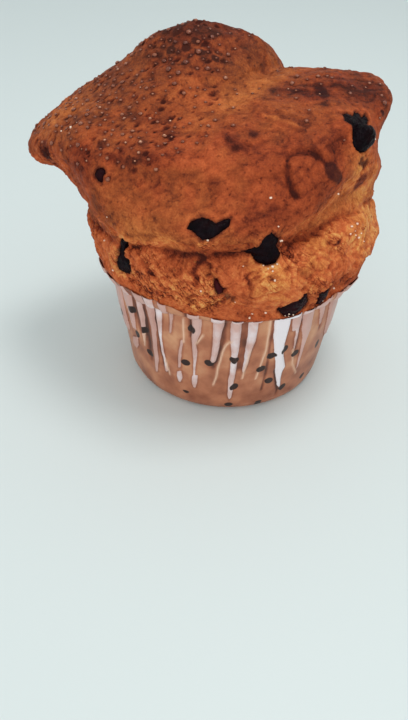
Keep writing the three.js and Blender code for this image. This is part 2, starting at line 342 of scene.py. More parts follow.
# %% Lines, spots and holes on the crust
LINES = {  # paths in mm
    "fold": [(8.5, 13, 69), (9.8, 6.8, 68.3), (5, 1.1, 67.5), (1.5, -3.3, 66.7), (-1.8, -7.7, 65.9)],
    "shoulder": [(-29.7, -15.2, 58.7), (-25, -18.3, 59), (-21.1, -19.6, 59.4), (-15.7, -20.2, 60.6),
        (-11.3, -21.4, 61.2), (-6.1, -22, 61.6)],
    "lobe_streak": [(7, -2.4, 67.4), (9.2, -2.8, 67.4), (12, -3.8, 67.4), (14.1, -5.8, 67.3),
        (16.1, -6.8, 67.3)],
    "swirl": [(-2.7, -16.8, 63.8), (-2, -18.7, 63.5), (-0.2, -20.5, 62.7), (2.7, -21, 62.5),
        (3.4, -22.4, 62.1)],
    "raised_edge": [(4.7, -11.9, 65.6), (5.8, -12.7, 65.5), (7.2, -13.8, 65.6), (8.6, -14.7, 65.6),
        (11.3, -16.4, 65)],
    "lobe_lines": [(18, -1.8, 68.3), (20.9, -2.4, 68), (24, -2.3, 67.3), (26.7, -0.2, 67.1)],
    "red_edge": [(19.5, -14.5, 65), (18.1, -17.3, 63.3), (17.5, -19.2, 61.8), (17.5, -20.5, 60.7)],
    "ring": [(10.6, -26, 56.2), (9.5, -25.6, 57.2), (8.9, -24.7, 58.7), (8.6, -23.9, 60.2),
        (8.9, -22.5, 61.4), (9.4, -21.9, 62.3), (10.8, -21.5, 62.7), (12.3, -21.3, 62.5), (13.8, -21.3, 61.8),
        (15.8, -21.5, 60.8)],
}
RING_MIDDLE = (12.6, -24.2, 59.4)
FLAKE = [(7.2, -12, 66.1), (11.3, -14.3, 65.6)]
TORN_SPOTS = [((-38.5, -5.5, 54), 3.2, 1.2), ((24.5, -14.8, 57.6), 3.6, 1.2), ((27, -10.5, 53), 4, 1.0)]
HOLES = [
    ((23.3, -15.4, 58.7), 1.2), ((24.8, -14.4, 57.7), 1.2), ((-0.9, -20.9, 62.7), 0.6),
    ((1.9, -19.3, 63.1), 0.6),
]
SUNKEN_BERRY = [
    ((17.2, -21.9, 59.1), 1.7, 1.0), ((18.4, -21.6, 57.9), 1.5, 0.9), ((16.2, -21.6, 60.2), 1.4, 0.8),
]
print(len(LINES), "lines and", len(HOLES), "holes")

# %% Tears in the collar, and the paper's edge
TEARS = [  # half its width, and its path
    (0.35, [(-20.2, -24.2, 43.2), (-19.6, -24, 43.7), (-18.1, -25.1, 44.7), (-16, -26.7, 45.8),
        (-14.1, -27.2, 44.7)]),
    (0.55, [(-5.7, -30.2, 45.5), (-6.8, -29.7, 44), (-7.4, -29.9, 42.6), (-7.1, -30.3, 41.3),
        (-7.1, -30.7, 39.8)]),
    (0.35, [(-20.2, -24.5, 41.8), (-19.4, -25.3, 41.2), (-20.2, -24.2, 39.4), (-19.1, -25.3, 39.3),
        (-18.3, -25.5, 38.1)]),
    (0.45, [(-17.3, -26.6, 41.1), (-16.5, -27, 40.5), (-15.8, -27.3, 39.8), (-14.9, -28.5, 39.7)]),
    (0.45, [(-20.1, -23.9, 37.1), (-18.9, -24.6, 36.1), (-17.6, -25.6, 35.4), (-16.3, -27, 35.2)]),
    (0.4, [(-16.3, -27.3, 36.5), (-15, -28.1, 36), (-13.7, -27.8, 34.6)]),
    (0.35, [(-14.1, -28.9, 38.4), (-13.2, -29, 37.4), (-12.7, -28.2, 35.4)]),
    (0.35, [(-10.6, -30.1, 38.4), (-9.8, -29.9, 37.6), (-9, -29.9, 36.7)]),
    (0.35, [(-7.9, -29.8, 36.7), (-6.3, -30.9, 37), (-4.4, -31.6, 37.8), (-2.1, -32.2, 38.5)]),
    (0.35, [(21.2, -18.3, 47.4), (21.4, -19.6, 46.5)]),
    (0.35, [(22, -20.5, 45.5), (20.9, -21.2, 44.8), (19.4, -22.9, 44.8)]),
    (0.4, [(22, -22.4, 42.6), (24.5, -19.8, 40.9), (26.5, -18.6, 39.8)]),
    (0.4, [(2.1, -31, 51.9), (2.7, -31.1, 50.8)]),
    (0.45, [(18.9, -24.6, 43.1), (19.2, -24.9, 42.2), (18.8, -25.6, 41.2)]),
    (0.4, [(24.8, -20.9, 39.2), (25.4, -20.3, 39)]),
    (0.4, [(2.2, -31.1, 42.4), (2.8, -31.6, 41.2), (3.5, -31.9, 39.8)]),
    (0.4, [(28.4, -14.5, 42.4), (28.8, -14, 41.8)]), (0.4, [(26, -15.1, 46.9), (26.2, -15.1, 46.2)]),
]
PAPER_RISE = [  # azimuth, how far the paper's edge stands above 29.2 mm
    (-180, 2), (-120, 1.3), (-75, 2.4), (-60, 3.1), (-50, 3.6), (-44, 4), (-37, 3.7), (-30, 4.1), (-23, 3.4),
    (-19, 2.6), (-11, 2.7), (-2, 2.1), (4, 1.2), (17, 1.2), (24, 1.9), (30, 2.4), (35, 2.4), (39, 3.9),
    (43, 4.4), (58, 3.4), (90, 2.2), (130, 1.3), (180, 2),
]
BRIDGE = [(-5.8, -30.6, 47.2), (-4.6, -31, 45.6), (-3.4, -31.2, 44.2)]
print(len(TEARS), "tears")


# %% How near each point is to them
def spots(points, table):
    """Sum of soft round spots."""
    return sum(amount * bell(np.linalg.norm(points - at, axis=1), radius) for at, radius, amount in table)


def blots(points, table):
    """Sum of round spots with a clear edge."""
    away = [np.linalg.norm(points - place, axis=1) / radius for place, radius, _ in table]
    return sum(amount * eased(far, 1.25, 0.75) for far, (_, _, amount) in zip(away, table))


def by_azimuth(table):
    """A height at each point, read from a table of azimuths and heights."""
    return np.interp(around, *zip(*table))


def torn_open(points):
    """1 in the middle of a tear, fading out over its width."""
    return np.max([bell(distance_to_path(points, path), half) for half, path in TEARS], axis=0)


around = azimuths(skin)
above = skin[:, 2] - by_azimuth(CREASE)
underside = eased(-normals[:, 2], 0.15, 0.5) * (above > 0)
torn = np.maximum(1 - eased(above, -0.6, 1.4), underside)
torn = np.maximum(torn, np.clip(spots(skin, TORN_SPOTS), 0, 0.9))
seen = eased(skin[:, 2], 29.6, 31.2)
print("torn share of the skin:", round(float(torn.mean()), 2))

# %% [markdown]
# ## The crumb, step three: relief
#
# The cap's skin was stretched as it rose: broad soft lumps and fine wrinkles. The collar was torn: ragged
# folds, pores where bubbles burst, and narrow tears. Displacement textures could do this in the shader, but
# then the exported mesh would be smooth, so the points themselves move along their normals.

# %% Patterns of wrinkles, strands, layers and bubbles
STRAND_SLOPE = 1.8  # degrees round the axis for each mm of height
STRAND_STRETCH = (1, 1, 2.8)


def ridges(points, size, shift, sharpness, stretch=(1.5, 1.5, 0.8)):
    """1 along thin wandering lines, 0 between them."""
    return np.clip(1 - sharpness * np.abs(grain(points, size, shift, stretch)), 0, 1) ** 2


def twisted(points, slope):
    """Points turned about the axis by `slope` degrees per mm of height: upright streaks come out slanted."""
    turn = np.radians(slope * points[:, 2])
    x, y, z = points.T
    return np.stack([x * np.cos(turn) - y * np.sin(turn), x * np.sin(turn) + y * np.cos(turn), z], axis=1)


def layers(values, steps):
    """Torn layers: a smooth height cut into steps, and lines of 1 along the foot of each step."""
    whole = np.floor(values * steps)
    part = values * steps - whole
    return (whole + eased(part, 0.7, 1.0)) / steps, bell(part - 0.66, 0.13)


def burst_bubbles(points, spacing, depth, share):
    """Round pits where bubbles burst: only `share` of the cells of a Voronoi pattern hold one."""
    made = np.zeros(len(points))
    for i, p in enumerate((points / spacing).tolist()):
        near, cells = noise.voronoi(p)
        luck = noise.cell(cells[0] * 9.7)
        if luck < share:
            made[i] = depth * max(0.0, 1 - (near[0] / (0.22 + 0.25 * luck / share)) ** 2)
    return made


print("strands turn", STRAND_SLOPE, "degrees for each mm up")

# %% Relief of the stretched cap
wander = np.stack([grain(skin, 2.2, shift) for shift in (1.1, 5.7, 9.9)], axis=1)
bent = skin + 0.8 * wander
uneven = np.clip(0.5 + 0.9 * grain(skin, 3, 7.7), 0, 1)
wrinkles = ridges(bent, 2.4, 5.5, 5, stretch=(2, 2, 0.8))
cap_relief = 0.3 * grain(skin, 6, 3.1) + 0.18 * grain(skin, 2.2, 8.2) + 0.12 * grain(skin, 1, 1.7)
cap_relief -= 0.16 * wrinkles
print("wrinkles on", round(float((wrinkles > 0.3).mean()), 2), "of the skin")

# %% Relief of the torn collar
left_foot = bell(around + 30, 24) * bell(skin[:, 2] - 37, 5)
frayed = eased(grain(skin, 6, 2.3) + 0.7 * left_foot - 0.2, -0.1, 0.5) * (1 - 0.6 * bell(around - 85, 28))
pads, pad_edges = layers(1.3 * grain(bent, 5.5, 7.2), 3.2)
cracks = ridges(twisted(bent, STRAND_SLOPE), 1.5, 4.9, 4.2, stretch=STRAND_STRETCH)
over_rim = skin[:, 2] - by_azimuth(BAKED_RIM) + 0.9 + 0.9 * grain(bent, 1.7, 8.8)
baked_rim = 1 - eased(over_rim, -0.3, 0.2)
torn_relief = (
    (0.7 * pads + 0.16 * grain(bent, 1.6, 2.2) + 0.08 * grain(skin, 0.8, 6.6)) * (1 - 0.5 * baked_rim)
    - 0.22 * pad_edges * (1 - baked_rim)
    - (0.1 + 0.36 * frayed) * cracks * (1 - 0.6 * baked_rim)
    + 0.3 * baked_rim
    - 0.3 * bell(over_rim - 0.25, 0.25) * frayed
)
torn_relief *= 1 - 0.7 * bell(around - 80, 28)
torn_relief -= 0.8 * bell(around - 82, 26) * bell(skin[:, 2] - 44.5, 5)
torn_relief -= 0.6 * bell(around - 62, 16) * bell(skin[:, 2] - 35, 3)
pits = burst_bubbles(skin, 2.1, 0.4, 0.22) * torn * (1 - baked_rim)
print("deepest pit:", round(float(pits.max()), 2), "mm")

# %% Crease, fold, ring, flake and holes
to_ring = np.maximum(distance_to_path(skin + 0.35 * wander, LINES["ring"]) - 0.4, 0)
to_flake = distance_to_path(bent, FLAKE)
to_bridge = distance_to_path(skin + 0.3 * wander, BRIDGE)
holes = sum(bell(np.linalg.norm(bent - place, axis=1), radius) for place, radius in HOLES)

# The crease under the cap and the hollow under the lip are pressed in here; the browning below also darkens
# them, as painted shade.
shaded_crease = bell(above, 0.45) * (0.4 + 0.6 * uneven) * (1 - underside) * (1 - bell(to_bridge, 1.0))
ring_lump = bell(np.linalg.norm(skin - RING_MIDDLE, axis=1), 3.2)
from_pad = skin[:, 0] + 13.8 + 0.3 * wander[:, 0]
shaded_hollow = eased(from_pad, 0, 0.5) * bell(np.maximum(from_pad, 0), 7) * bell(skin[:, 2] - 44.2, 1.7)
shaded_hollow *= skin[:, 1] < -20
marks = (
    -0.8 * shaded_crease
    - 0.35 * bell(distance_to_path(bent, LINES["fold"]), 1.0)
    - 0.75 * bell(to_ring, 0.5) * (0.8 + 0.2 * uneven)
    + 0.5 * ring_lump
    - 0.35 * bell(to_flake, 0.4)
    + 0.25 * bell(to_flake, 1.2)
    + 0.35 * bell(distance_to_path(bent, LINES["raised_edge"]), 0.5)
    - 0.8 * shaded_hollow
    + 0.6 * bell(to_bridge, 0.8)
    - 0.8 * np.clip(holes, 0, 1)
    - 0.5 * torn_open(skin + 0.25 * wander)
    + 0.3 * np.clip(spots(skin, SUNKEN_BERRY), 0, 1)
)
print("deepest mark:", round(float(marks.min()), 2), "mm")

# %% Move the points
overhang = bell(skin[:, 2] - 30.3, 1.1) * (1 + 0.5 * grain(skin, 4, 6.1))
overhang *= 1 - 0.9 * eased(by_azimuth(PAPER_RISE), 0.3, 1.0)
move = seen * ((1 - torn) * cap_relief + torn * torn_relief + marks - pits) + 0.85 * overhang
skin = skin + normals * np.clip(move, -1.6, 1.3)[:, None]
write_points(crumb, skin)
crust_tree = BVHTree.FromBMesh(crumb)
print("relief from", round(float(move.min()), 2), "to", round(float(move.max()), 2), "mm")

# %% [markdown]
# ### Windows for the berries
#
# A berry shows where the crust tore over it. Each torn edge is a short outline, drawn on a plane that lies
# flat on the crust there. Inside the outline the crust sinks out of the way, and later a berry of the same
# outline is set into the window, so that its edge is as ragged as the tear.

# %% Outlines of the berries
OUTSIDE = 60  # mm from the axis, well clear of the cap
NEAR_PLANE = 5  # mm
SMALL_ROUND = [(2.5 * math.cos(math.radians(a)), 2.5 * math.sin(math.radians(a))) for a in range(0, 360, 30)]
BODIES = {  # for each body: middle, way out, how far it bulges, outline in mm to the right and up
    "berry_front_left": [((-5.2, -32.0, 52.4), (-0.09, -0.95, 0.31), 0.4, [(-3.8, -0.3), (-3.2, 0.9),
        (-1.4, 1.7), (1.3, 1.2), (3.9, 2.0), (3.6, 0.7), (2.1, -0.9), (0.6, -1.9), (-0.9, -2.1),
        (-2.3, -1.0)])],
    "berry_front_right": [((5.9, -30.7, 47.3), (0.31, -0.93, 0.19), 0.6, [(-4.2, 0.2), (-2.1, 0.7),
        (-0.8, 2.8), (0.5, 3.6), (2.6, 2.1), (2.2, 0.8), (3.0, -1.5), (2.1, -2.6), (0.2, -3.0), (-1.1, -2.4),
        (-2.4, -0.9)])],
    "berry_left": [((-22.1, -23.7, 40.8), (-0.7, -0.71, -0.07), 0.3, [(-1.0, 3.6), (1.3, 4.7), (0.4, 2.3),
        (0.2, 0.5), (1.3, -0.3), (1.5, -2.8), (0.2, -4.1), (-1.9, -3.8), (-2.2, -1.9), (-1.2, 1.0)])],
    "berry_collar": [((-2.9, -32.6, 40.1), (-0.08, -1.0, 0.0), 0.3, [(-0.8, 1.8), (0.2, 0.8), (1.1, -0.3),
        (0.8, -1.5), (-0.2, -1.4), (-1.1, 0.5)])],
    "berry_rim_front": [((12.5, -29.0, 33.5), (0.4, -0.8, -0.45), 0.6, [(1.9, 4.0), (3.3, 0.6), (2.7, -1.3),
        (1.4, -2.6), (-1.4, -2.9), (-2.9, -1.2), (-2.0, 0.5), (-0.3, 2.4)])],
    "berry_rim_right": [((18.5, -25.5, 34.3), (0.49, -0.77, -0.4), 0.7, [(0.0, 3.0), (1.6, 0.9), (0.8, -1.2),
        (0.3, -2.5), (-1.1, -2.3), (-1.5, 1.8)])],
    "berry_lip": [((-25.9, -19.9, 56.5), (-0.48, -0.79, 0.39), 0.1, [(-0.9, 0.9), (0.5, 1.5), (1.1, 0.5),
        (0.8, -1.3), (-0.3, -1.4), (-1.2, -0.3)])],
    "berry_crown": [((23.5, -14.3, 62.9), (0.6, -0.49, 0.63), 2.3, SMALL_ROUND), ((22.1, -11.6, 65.2),
        (0.45, -0.56, 0.69), 0.2, [(-2.2, 1.9), (-1.0, 1.7), (-0.5, 0.6), (0.9, 1.8), (1.9, 1.3), (2.0, 0.3),
        (3.4, 0.8), (3.2, -0.7), (1.8, -1.9), (-0.7, -2.2), (-2.7, -2.6), (-3.0, -0.8), (-3.4, 0.4)])],
}
BACK_BODIES = {  # azimuth, height, bulge, outline
    "berry_back_right": (122, 43, 0.5, [(-2.8, -0.4), (-1.2, 1.9), (0.9, 1.5), (2.9, 0.9), (2.2, -1.3),
        (-0.4, -2.1)]),
    "berry_back_cap": (164, 54, 0.4, [(-3.4, 0.2), (-1.9, 1.8), (1.1, 1.4), (3.3, -0.5), (1.6, -2.1),
        (-1.4, -1.5)]),
    "berry_back_left": (-137, 40, 0.5, [(-1.9, 1.4), (0.2, 3.0), (2.0, 1.1), (1.8, -1.4), (-0.3, -2.8),
        (-2.3, -1.2)]),
}


def outermost(azimuth, height, trees=()):
    """The outermost place on crust or other trees at an azimuth and a height, and which way is out."""
    a = math.radians(azimuth)
    way = Vector((math.sin(a), -math.cos(a), 0))
    start = (way * OUTSIDE + Vector((0, 0, height))) * MM
    hits = [tree.ray_cast(start, -way) for tree in (crust_tree, *trees)]
    hit, normal, _, _ = min((h for h in hits if h[0]), key=lambda h: h[3])
    return np.array(hit) / MM, np.array(normal)


for name, (azimuth, height, bulge, outline) in BACK_BODIES.items():
    BODIES[name] = [(*outermost(azimuth, height), bulge, outline)]


def plane_of(out):
    """Unit vectors out of, across and up along a plane."""
    out = np.array(out) / np.linalg.norm(out)
    across = np.cross((0, 0, 1), out)
    across /= np.linalg.norm(across)
    return out, across, np.cross(out, across)


def inside_by(points, body):
    """How far inside a body's outline each point lies, in mm, negative outside it."""
    middle, out, _, outline = body
    out, across, upward = plane_of(out)
    apart = points - np.array(middle)
    flat = np.stack([apart @ across, apart @ upward], axis=1)
    return np.where(np.abs(apart @ out) < NEAR_PLANE, inside_outline(flat, outline), -9.0)


print(len(BODIES), "berries")

# %% Windows in the crust
bodies = [body for group in BODIES.values() for body in group]
open_by = np.max([inside_by(skin, body) for body in bodies], axis=0) + 0.2 * grain(skin, 0.9, 3.3)
window = eased(open_by, -0.1, 0.35)
plain_tree = crust_tree
skin = skin + normals * (0.14 * bell(open_by + 0.45, 0.35) - 1.1 * window)[:, None]
write_points(crumb, skin)
crust_tree = BVHTree.FromBMesh(crumb)
print(len(bodies), "berry bodies,", int((window > 0.5).sum()), "points in their windows")

# %% [markdown]
# ## The crumb, step four: browning
#
# Baking colours a crust by how hot and dry it got: high places most, torn and sheltered places least. One
# number per point, from 0 for pale crumb to 1 for almost burnt, drives a colour ramp. Others say how golden
# the crust is there, and where berry juice has stained it. The same number also carries painted shade: the
# crease under the cap, the hollow under the lip, holes, pits, tears and the dents between sugar beads are
# made darker than they baked, and so is a ring round the foot of each bead, more near the crown's scorched
# tip. The sugar beads are placed first, because the crust is dented between them.

# %% Where sugar beads lie
OVERHEAD = 95  # mm, above the crown
BEAD_GAP = 0.5
LARGE_BEAD = 0.62
BEAD_TRIES = 5200
LARGE_BEADS = [
    (-10.1, 7.7), (-10.6, 5.4), (-8, 3.4), (-2.1, 5.5), (-10.4, 1), (-13.8, 0.5), (-6.1, 0.6), (-14.3, 10),
]


def crowding(x, y):
    """How likely a bead is to lie here, 0 to 1, by where the sugar fell."""
    on_flank = 1 / (1 + np.exp((x + 4) / 2.5)) * (1 / (1 + np.exp((-20 - y) / 1.5)))
    bare_front = 1 - 0.8 * np.exp(-(((x + 4) / 9) ** 2) - ((y + 15) / 6) ** 2)
    strays = np.where(y > -8, 0.1, 0.012)
    return np.maximum(on_flank * bare_front, strays)


chance = random.Random(7)
beads = [(x, y, LARGE_BEAD) for x, y in LARGE_BEADS]
for _ in range(BEAD_TRIES):
    x, y = chance.uniform(-44, 30), chance.uniform(-23, 30)
    radius = 0.26 + 0.32 * chance.random() ** 1.7
    clump = 0.55 + 0.9 * noise.noise((x / 3.2, y / 3.2, 1.5))
    if chance.random() > 0.75 * crowding(x, y) * clump:
        continue
    if all((x - a) ** 2 + (y - b) ** 2 > (BEAD_GAP + radius + r) ** 2 for a, b, r in beads):
        beads.append((x, y, radius))
bead_feet = []
for x, y, radius in beads:
    hit, normal, _, _ = crust_tree.ray_cast(Vector((x, y, OVERHEAD)) * MM, Vector((0, 0, -1)))
    if hit and hit.z > 55 * MM and normal.z > 0.2:
        bead_feet.append((hit, normal, radius))
near_beads = KDTree(len(bead_feet))
for i, (hit, _, _) in enumerate(bead_feet):
    near_beads.insert(hit / MM, i)
near_beads.balance()
to_bead = np.array([near_beads.find(p)[2] for p in skin.tolist()])
sugared = crowding(skin[:, 0], skin[:, 1]) * eased(skin[:, 2], 54, 57) * (1 - torn)
print(len(bead_feet), "beads")

# %% Dents between the beads
slant = math.radians(35)
along = (skin[:, 0] * math.cos(slant) + skin[:, 1] * math.sin(slant)) / 1.6
aside = skin[:, 1] * math.cos(slant) - skin[:, 0] * math.sin(slant)
drawn_out = np.stack([along, aside, skin[:, 2] * 0.8], axis=1)
shaded_dents = burst_bubbles(drawn_out + 0.2 * wander, 1.35, 1.0, 0.9) * np.clip(2.2 * sugared, 0, 1)
skin = skin - normals * (0.4 * shaded_dents)[:, None]
write_points(crumb, skin)
settled = skin + 0.35 * wander
to = {name: distance_to_path(settled, path) for name, path in LINES.items()}
tears = torn_open(settled)
print("points in dents:", int((shaded_dents > 0.3).sum()), "in tears:", int((tears > 0.3).sum()))

# %% Spots that baked browner, paler or more golden, and spots of painted shade
CROWN_TIP = (-12, 5, 72.5)
# Some dark spots are painted shade rather than browning: those in the crease under the cap and right of the
# front right berry.
DARK_SPOTS = [  # place, radius, how much browner
    ((2.7, -17.3, 63.7), 1.0, 0.3), ((-0.1, -20.5, 62.8), 1.0, 0.15), ((-4.2, -25.6, 57.8), 1.3, 0.15),
    ((14, -4, 67.6), 4, 0.16), ((24, -2, 67.4), 6, 0.2), ((12.5, -23.5, 59.5), 4.5, 0.13),
    ((-2, -31, 46), 4, 0.16), ((-8, -31, 48.8), 3.5, 0.14), ((-6.4, -29.7, 45.5), 1.5, 0.3),
    ((-9, -29, 45.2), 1.2, 0.2), ((3, -32, 38.5), 4, 0.08), ((1, 1, 68), 5, 0.05), ((6, -28.6, 54), 6, 0.1),
    ((18.9, -18.4, 61.8), 4, 0.06), ((-30, -15.5, 57), 3.5, 0.1), ((9.6, -27.2, 46.5), 2.2, 0.22),
    ((3.6, -30, 33.8), 4, 0.06), ((14.5, -23, 47.2), 2, 0.08), ((20, -25, 36), 6, 0.22),
    ((-16, -27, 40), 6, 0.05), ((27.8, -3, 65.5), 3, 0.08), ((25.6, -13, 59.2), 2.4, 0.04),
    ((24.8, -13.2, 53.6), 2.6, 0.12), ((21.5, -16, 51.5), 3.5, 0.09), ((3.5, 8.5, 70), 5, 0.07),
]
DARK_BLOTS = [
    ((-39.2, -5.3, 55), 2.2, 0.3), ((-38, -5.4, 52.8), 2.2, 0.2), ((-25.6, -15.9, 60.4), 0.9, 0.2),
    ((-23.6, -18.6, 59.4), 0.8, 0.16), ((-22.1, -19, 59.5), 1.1, 0.14), ((-19.6, -20.2, 59.1), 1.1, 0.16),
    ((-17.4, -17.2, 61.7), 1.1, 0.16), ((-21, -18.1, 60.6), 0.9, 0.16), ((-15.7, -20.8, 60), 1.3, 0.1),
    ((-12.3, 8.7, 75), 0.9, 0.34), ((-10.5, 4.4, 72.7), 0.9, 0.38), ((-8.8, 6.1, 73.8), 0.8, 0.34),
    ((-7.7, 3.4, 72.3), 0.9, 0.38), ((-6.8, 5.4, 73.1), 0.7, 0.34), ((-4.7, 3.3, 71.3), 0.8, 0.36),
    ((-13.7, 5.1, 72.1), 0.8, 0.34), ((-15.8, 5.1, 71.1), 0.8, 0.2), ((16.1, -9.2, 67), 0.9, 0.2),
    ((15.5, -1.8, 68), 1.2, 0.2), ((15.9, -3.5, 67.8), 1.4, 0.25), ((16.5, -5.5, 67.4), 1.2, 0.25),
    ((28.6, -4.9, 64.2), 0.8, 0.3), ((25.7, -0.5, 67.1), 0.7, 0.25), ((24.8, -13.2, 53.6), 1.9, 0.45),
]
PALE_SPOTS = [  # place, radius, how much paler
    ((23, -16, 57.5), 3.4, 0.19), ((-9, -12, 64), 5, 0.04), ((26, -11, 52), 5, 0.16), ((2.5, 4, 68), 4, 0.06),
    ((29, -8, 43.5), 5, 0.16), ((22, -22, 44), 8, 0.1), ((10, -30, 41), 6, 0.03), ((-14, -28, 50), 6, 0.06),
    ((-18, -27, 48), 3, 0.09), ((-24.5, -21, 52), 4, 0.05), ((7.3, -9.7, 66.4), 2.6, 0.08),
    ((-36.6, 1.9, 60.7), 6, 0.1), ((27, -16, 45), 6, 0.12), ((-24, -22, 39), 6, 0.08),
    ((4, -31, 42), 4, 0.03), ((8, -31, 40.5), 4.5, 0.06), ((18, -23, 45.5), 4, 0.06),
    ((-9.5, -3, 68), 6, 0.06),
]
GOLDEN_SPOTS = [  # place, radius, how far towards yellow
    ((2, 1, 67.5), 6, 0.5), ((25, -14, 54), 6, 0.7), ((29, -8, 43.5), 7, 0.6), ((-10, -30, 49), 9, 0.45),
    ((-21, -24, 49.5), 7, 0.45), ((22, -2, 68.5), 9, -0.3), ((12, -22, 60), 6, -0.4),
    ((-37, 1, 60.5), 8, 0.7), ((-30, -15.5, 57), 4, -0.8), ((24.8, -13.2, 53.6), 3, -0.9),
    ((-3, -31, 47), 3, -0.4), ((-8, -31, 48.8), 3.5, -0.35), ((8, -31, 40.5), 4.5, 0.4),
    ((18, -23, 45.5), 5, 0.4), ((0.5, -32, 41.5), 3.5, -0.5), ((3.6, -30, 33.8), 4, -0.5),
    ((-20, -24, 38), 6, -0.3), ((9.6, -27.2, 46.5), 2.6, -0.5), ((22, -24, 37.5), 4, -0.6),
    ((8, -29, 55.5), 6, -0.4), ((27, -13, 49), 6, 0.2), ((22.5, -17, 58.5), 3, 0.4), ((-9, -12, 64), 5, 0.25),
    ((3.5, 8.5, 70), 5, 0.25), ((-30, -3, 62), 7, 0.25),
]
print(len(DARK_SPOTS + DARK_BLOTS), "dark spots,", len(PALE_SPOTS), "pale and", len(GOLDEN_SPOTS), "golden")

# %% How brown the cap is
broad, middle, fine = grain(skin, 8, 1.3), grain(skin, 3, 9.4), grain(skin, 1.1, 0.4)
roll = bell(above - 2.4, 2.2) * bell(around, 75) * (1 - underside)
charred = bell(np.linalg.norm(skin - CROWN_TIP, axis=1), 6.5)
cap_brown = (
    0.57
    # Higher is browner, and the crown's top edge is darker still: real browning, and painted shade where the
    # top turns away from the light.
    + 0.13 * eased(skin[:, 2], 60, 74) + 0.18 * eased(skin[:, 2], 73, 75)
    + 0.05 * eased(-skin[:, 0], 4, 26)
    - 0.14 * roll
    - 0.16 * bell(to["fold"], 3)
    + 0.1 * bell(to["shoulder"], 1.2) * uneven
    + 0.58 * bell(to["ring"], 0.45) * (0.7 + 0.3 * uneven)
    + 0.3 * bell(to["swirl"], 0.7) * uneven
    - 0.14 * bell(to["raised_edge"], 0.3)
    # Painted shade beside the raised edge, 0.9 mm off it.
    + 0.08 * bell(to["raised_edge"] - 0.9, 0.5)
    - 0.08 * ring_lump
    # Painted shade in the flake's groove.
    + 0.1 * bell(to_flake, 0.5)
    + 0.24 * bell(to["lobe_streak"], 0.9) * (0.5 + 0.5 * uneven)
    + 0.16 * bell(to["lobe_lines"], 0.5)
    + 0.2 * bell(to["red_edge"], 1.6)
    + (0.14 + 0.16 * roll) * wrinkles
    # Painted shade: a dark ring round each bead's foot, stronger near the crown's tip where the crust also
    # scorched, and dark dents between the beads.
    + (0.16 + 0.34 * charred) * bell(to_bead, 0.65)
    + 0.48 * shaded_dents
    + 0.1 * broad + 0.1 * middle + 0.1 * fine
)
print("cap: mean", round(float(cap_brown.mean()), 2))

# %% How brown the torn collar is
# Darker in tears, pits and cracks, at the foot of each torn layer, below the baked rim's ragged edge and near
# the crease: browning, and painted shade in these recesses.
torn_brown = (
    0.27
    + 0.14 * eased(-around, 45, 85) - 0.09 * bell(around + 30, 20)
    + 0.16 * baked_rim
    + 0.2 * bell(over_rim - 0.25, 0.35) * (0.3 + 0.7 * frayed)
    + 0.07 * bell(above, 1.6)
    + 0.55 * tears
    + (0.06 + 0.18 * frayed) * cracks - 0.05 * frayed + 0.16 * pad_edges * (1 - baked_rim) + 0.7 * pits
    + 0.08 * broad + 0.18 * middle + 0.18 * fine
)
print("collar: mean", round(float(torn_brown.mean()), 2))

# %% Brown and gold together
# Painted shade: darker in the crease under the cap, most of all in front, in the hollow under the lip and in
# the holes.
front_crease_shade = 0.15 * bell(around + 12, 16) * bell(above, 0.5)
brown = (1 - torn) * cap_brown + torn * torn_brown
brown += 0.3 * shaded_crease + 0.25 * shaded_hollow + 0.3 * np.clip(holes, 0, 1)
brown += front_crease_shade + spots(skin, DARK_SPOTS) - spots(skin, PALE_SPOTS)
brown += blots(skin + 0.4 * wander, DARK_BLOTS)
flank = eased(-skin[:, 0], 8, 24) * (0.12 + 0.24 * eased(skin[:, 2], 55, 60))
cap_golden = 0.15 + 0.35 * eased(skin[:, 2], 61, 68) + flank + 0.4 * roll
torn_golden = (
    0.3 + 0.35 * grain(skin, 7, 2.6) - 0.4 * eased(-around, 10, 40)
    - tears - 0.5 * cracks - 0.4 * pad_edges - 0.3 * baked_rim
)
# The painted shade in the crease, the hollow, the dents between beads and the front of the crease is also
# redder.
golden = (1 - torn) * cap_golden + torn * torn_golden - 0.3 * shaded_hollow - 0.4 * shaded_crease
golden += spots(skin, GOLDEN_SPOTS) + 0.5 * middle
golden += 0.5 * bell(to["fold"], 3.5) - 0.3 * bell(to["shoulder"], 2)
golden += 0.4 * bell(to["raised_edge"], 0.5) - 0.6 * shaded_dents - 2 * front_crease_shade
RED_LINES = [("swirl", 0.5, 1.5), ("lobe_streak", 0.5, 1.5), ("red_edge", 0.4, 2), ("ring", 0.4, 0.8)]
for name, share, width in RED_LINES:
    golden -= share * bell(to[name], width)
print("browning: mean", round(float(brown.mean()), 2))

# %% Stain near the berries
STAINS = [
    ((15.9, -3.5, 67.8), 1.3, 0.4), ((16.4, -5.2, 67.5), 1.1, 0.4), ((23.3, -15.4, 58.7), 1.1, 0.75),
    ((24.8, -14.4, 57.7), 1.1, 0.75), ((2.4, -16.9, 64), 0.9, 0.5), ((-0.9, -20.9, 62.7), 0.8, 0.35),
    ((-26.8, -19.7, 50.7), 1.6, 0.4), ((-38.8, -5.4, 54.4), 2.2, 0.25), ((28.6, -4.9, 64.2), 0.7, 0.3),
    ((-1.2, -31.8, 38), 0.9, 0.7), ((0, -30.9, 37), 0.8, 0.7),
]
sunken = eased(spots(skin + 0.4 * wander, SUNKEN_BERRY), 0.45, 0.8)
stain = 0.95 * eased(open_by, -0.3, 0.15) + blots(skin + 0.5 * wander, STAINS) + 0.8 * sunken
stain += 0.3 * bell(to["ring"], 0.5) * uneven
brown -= 0.1 * bell(open_by + 0.8, 0.4)
print("stained points:", int((stain > 0.3).sum()))

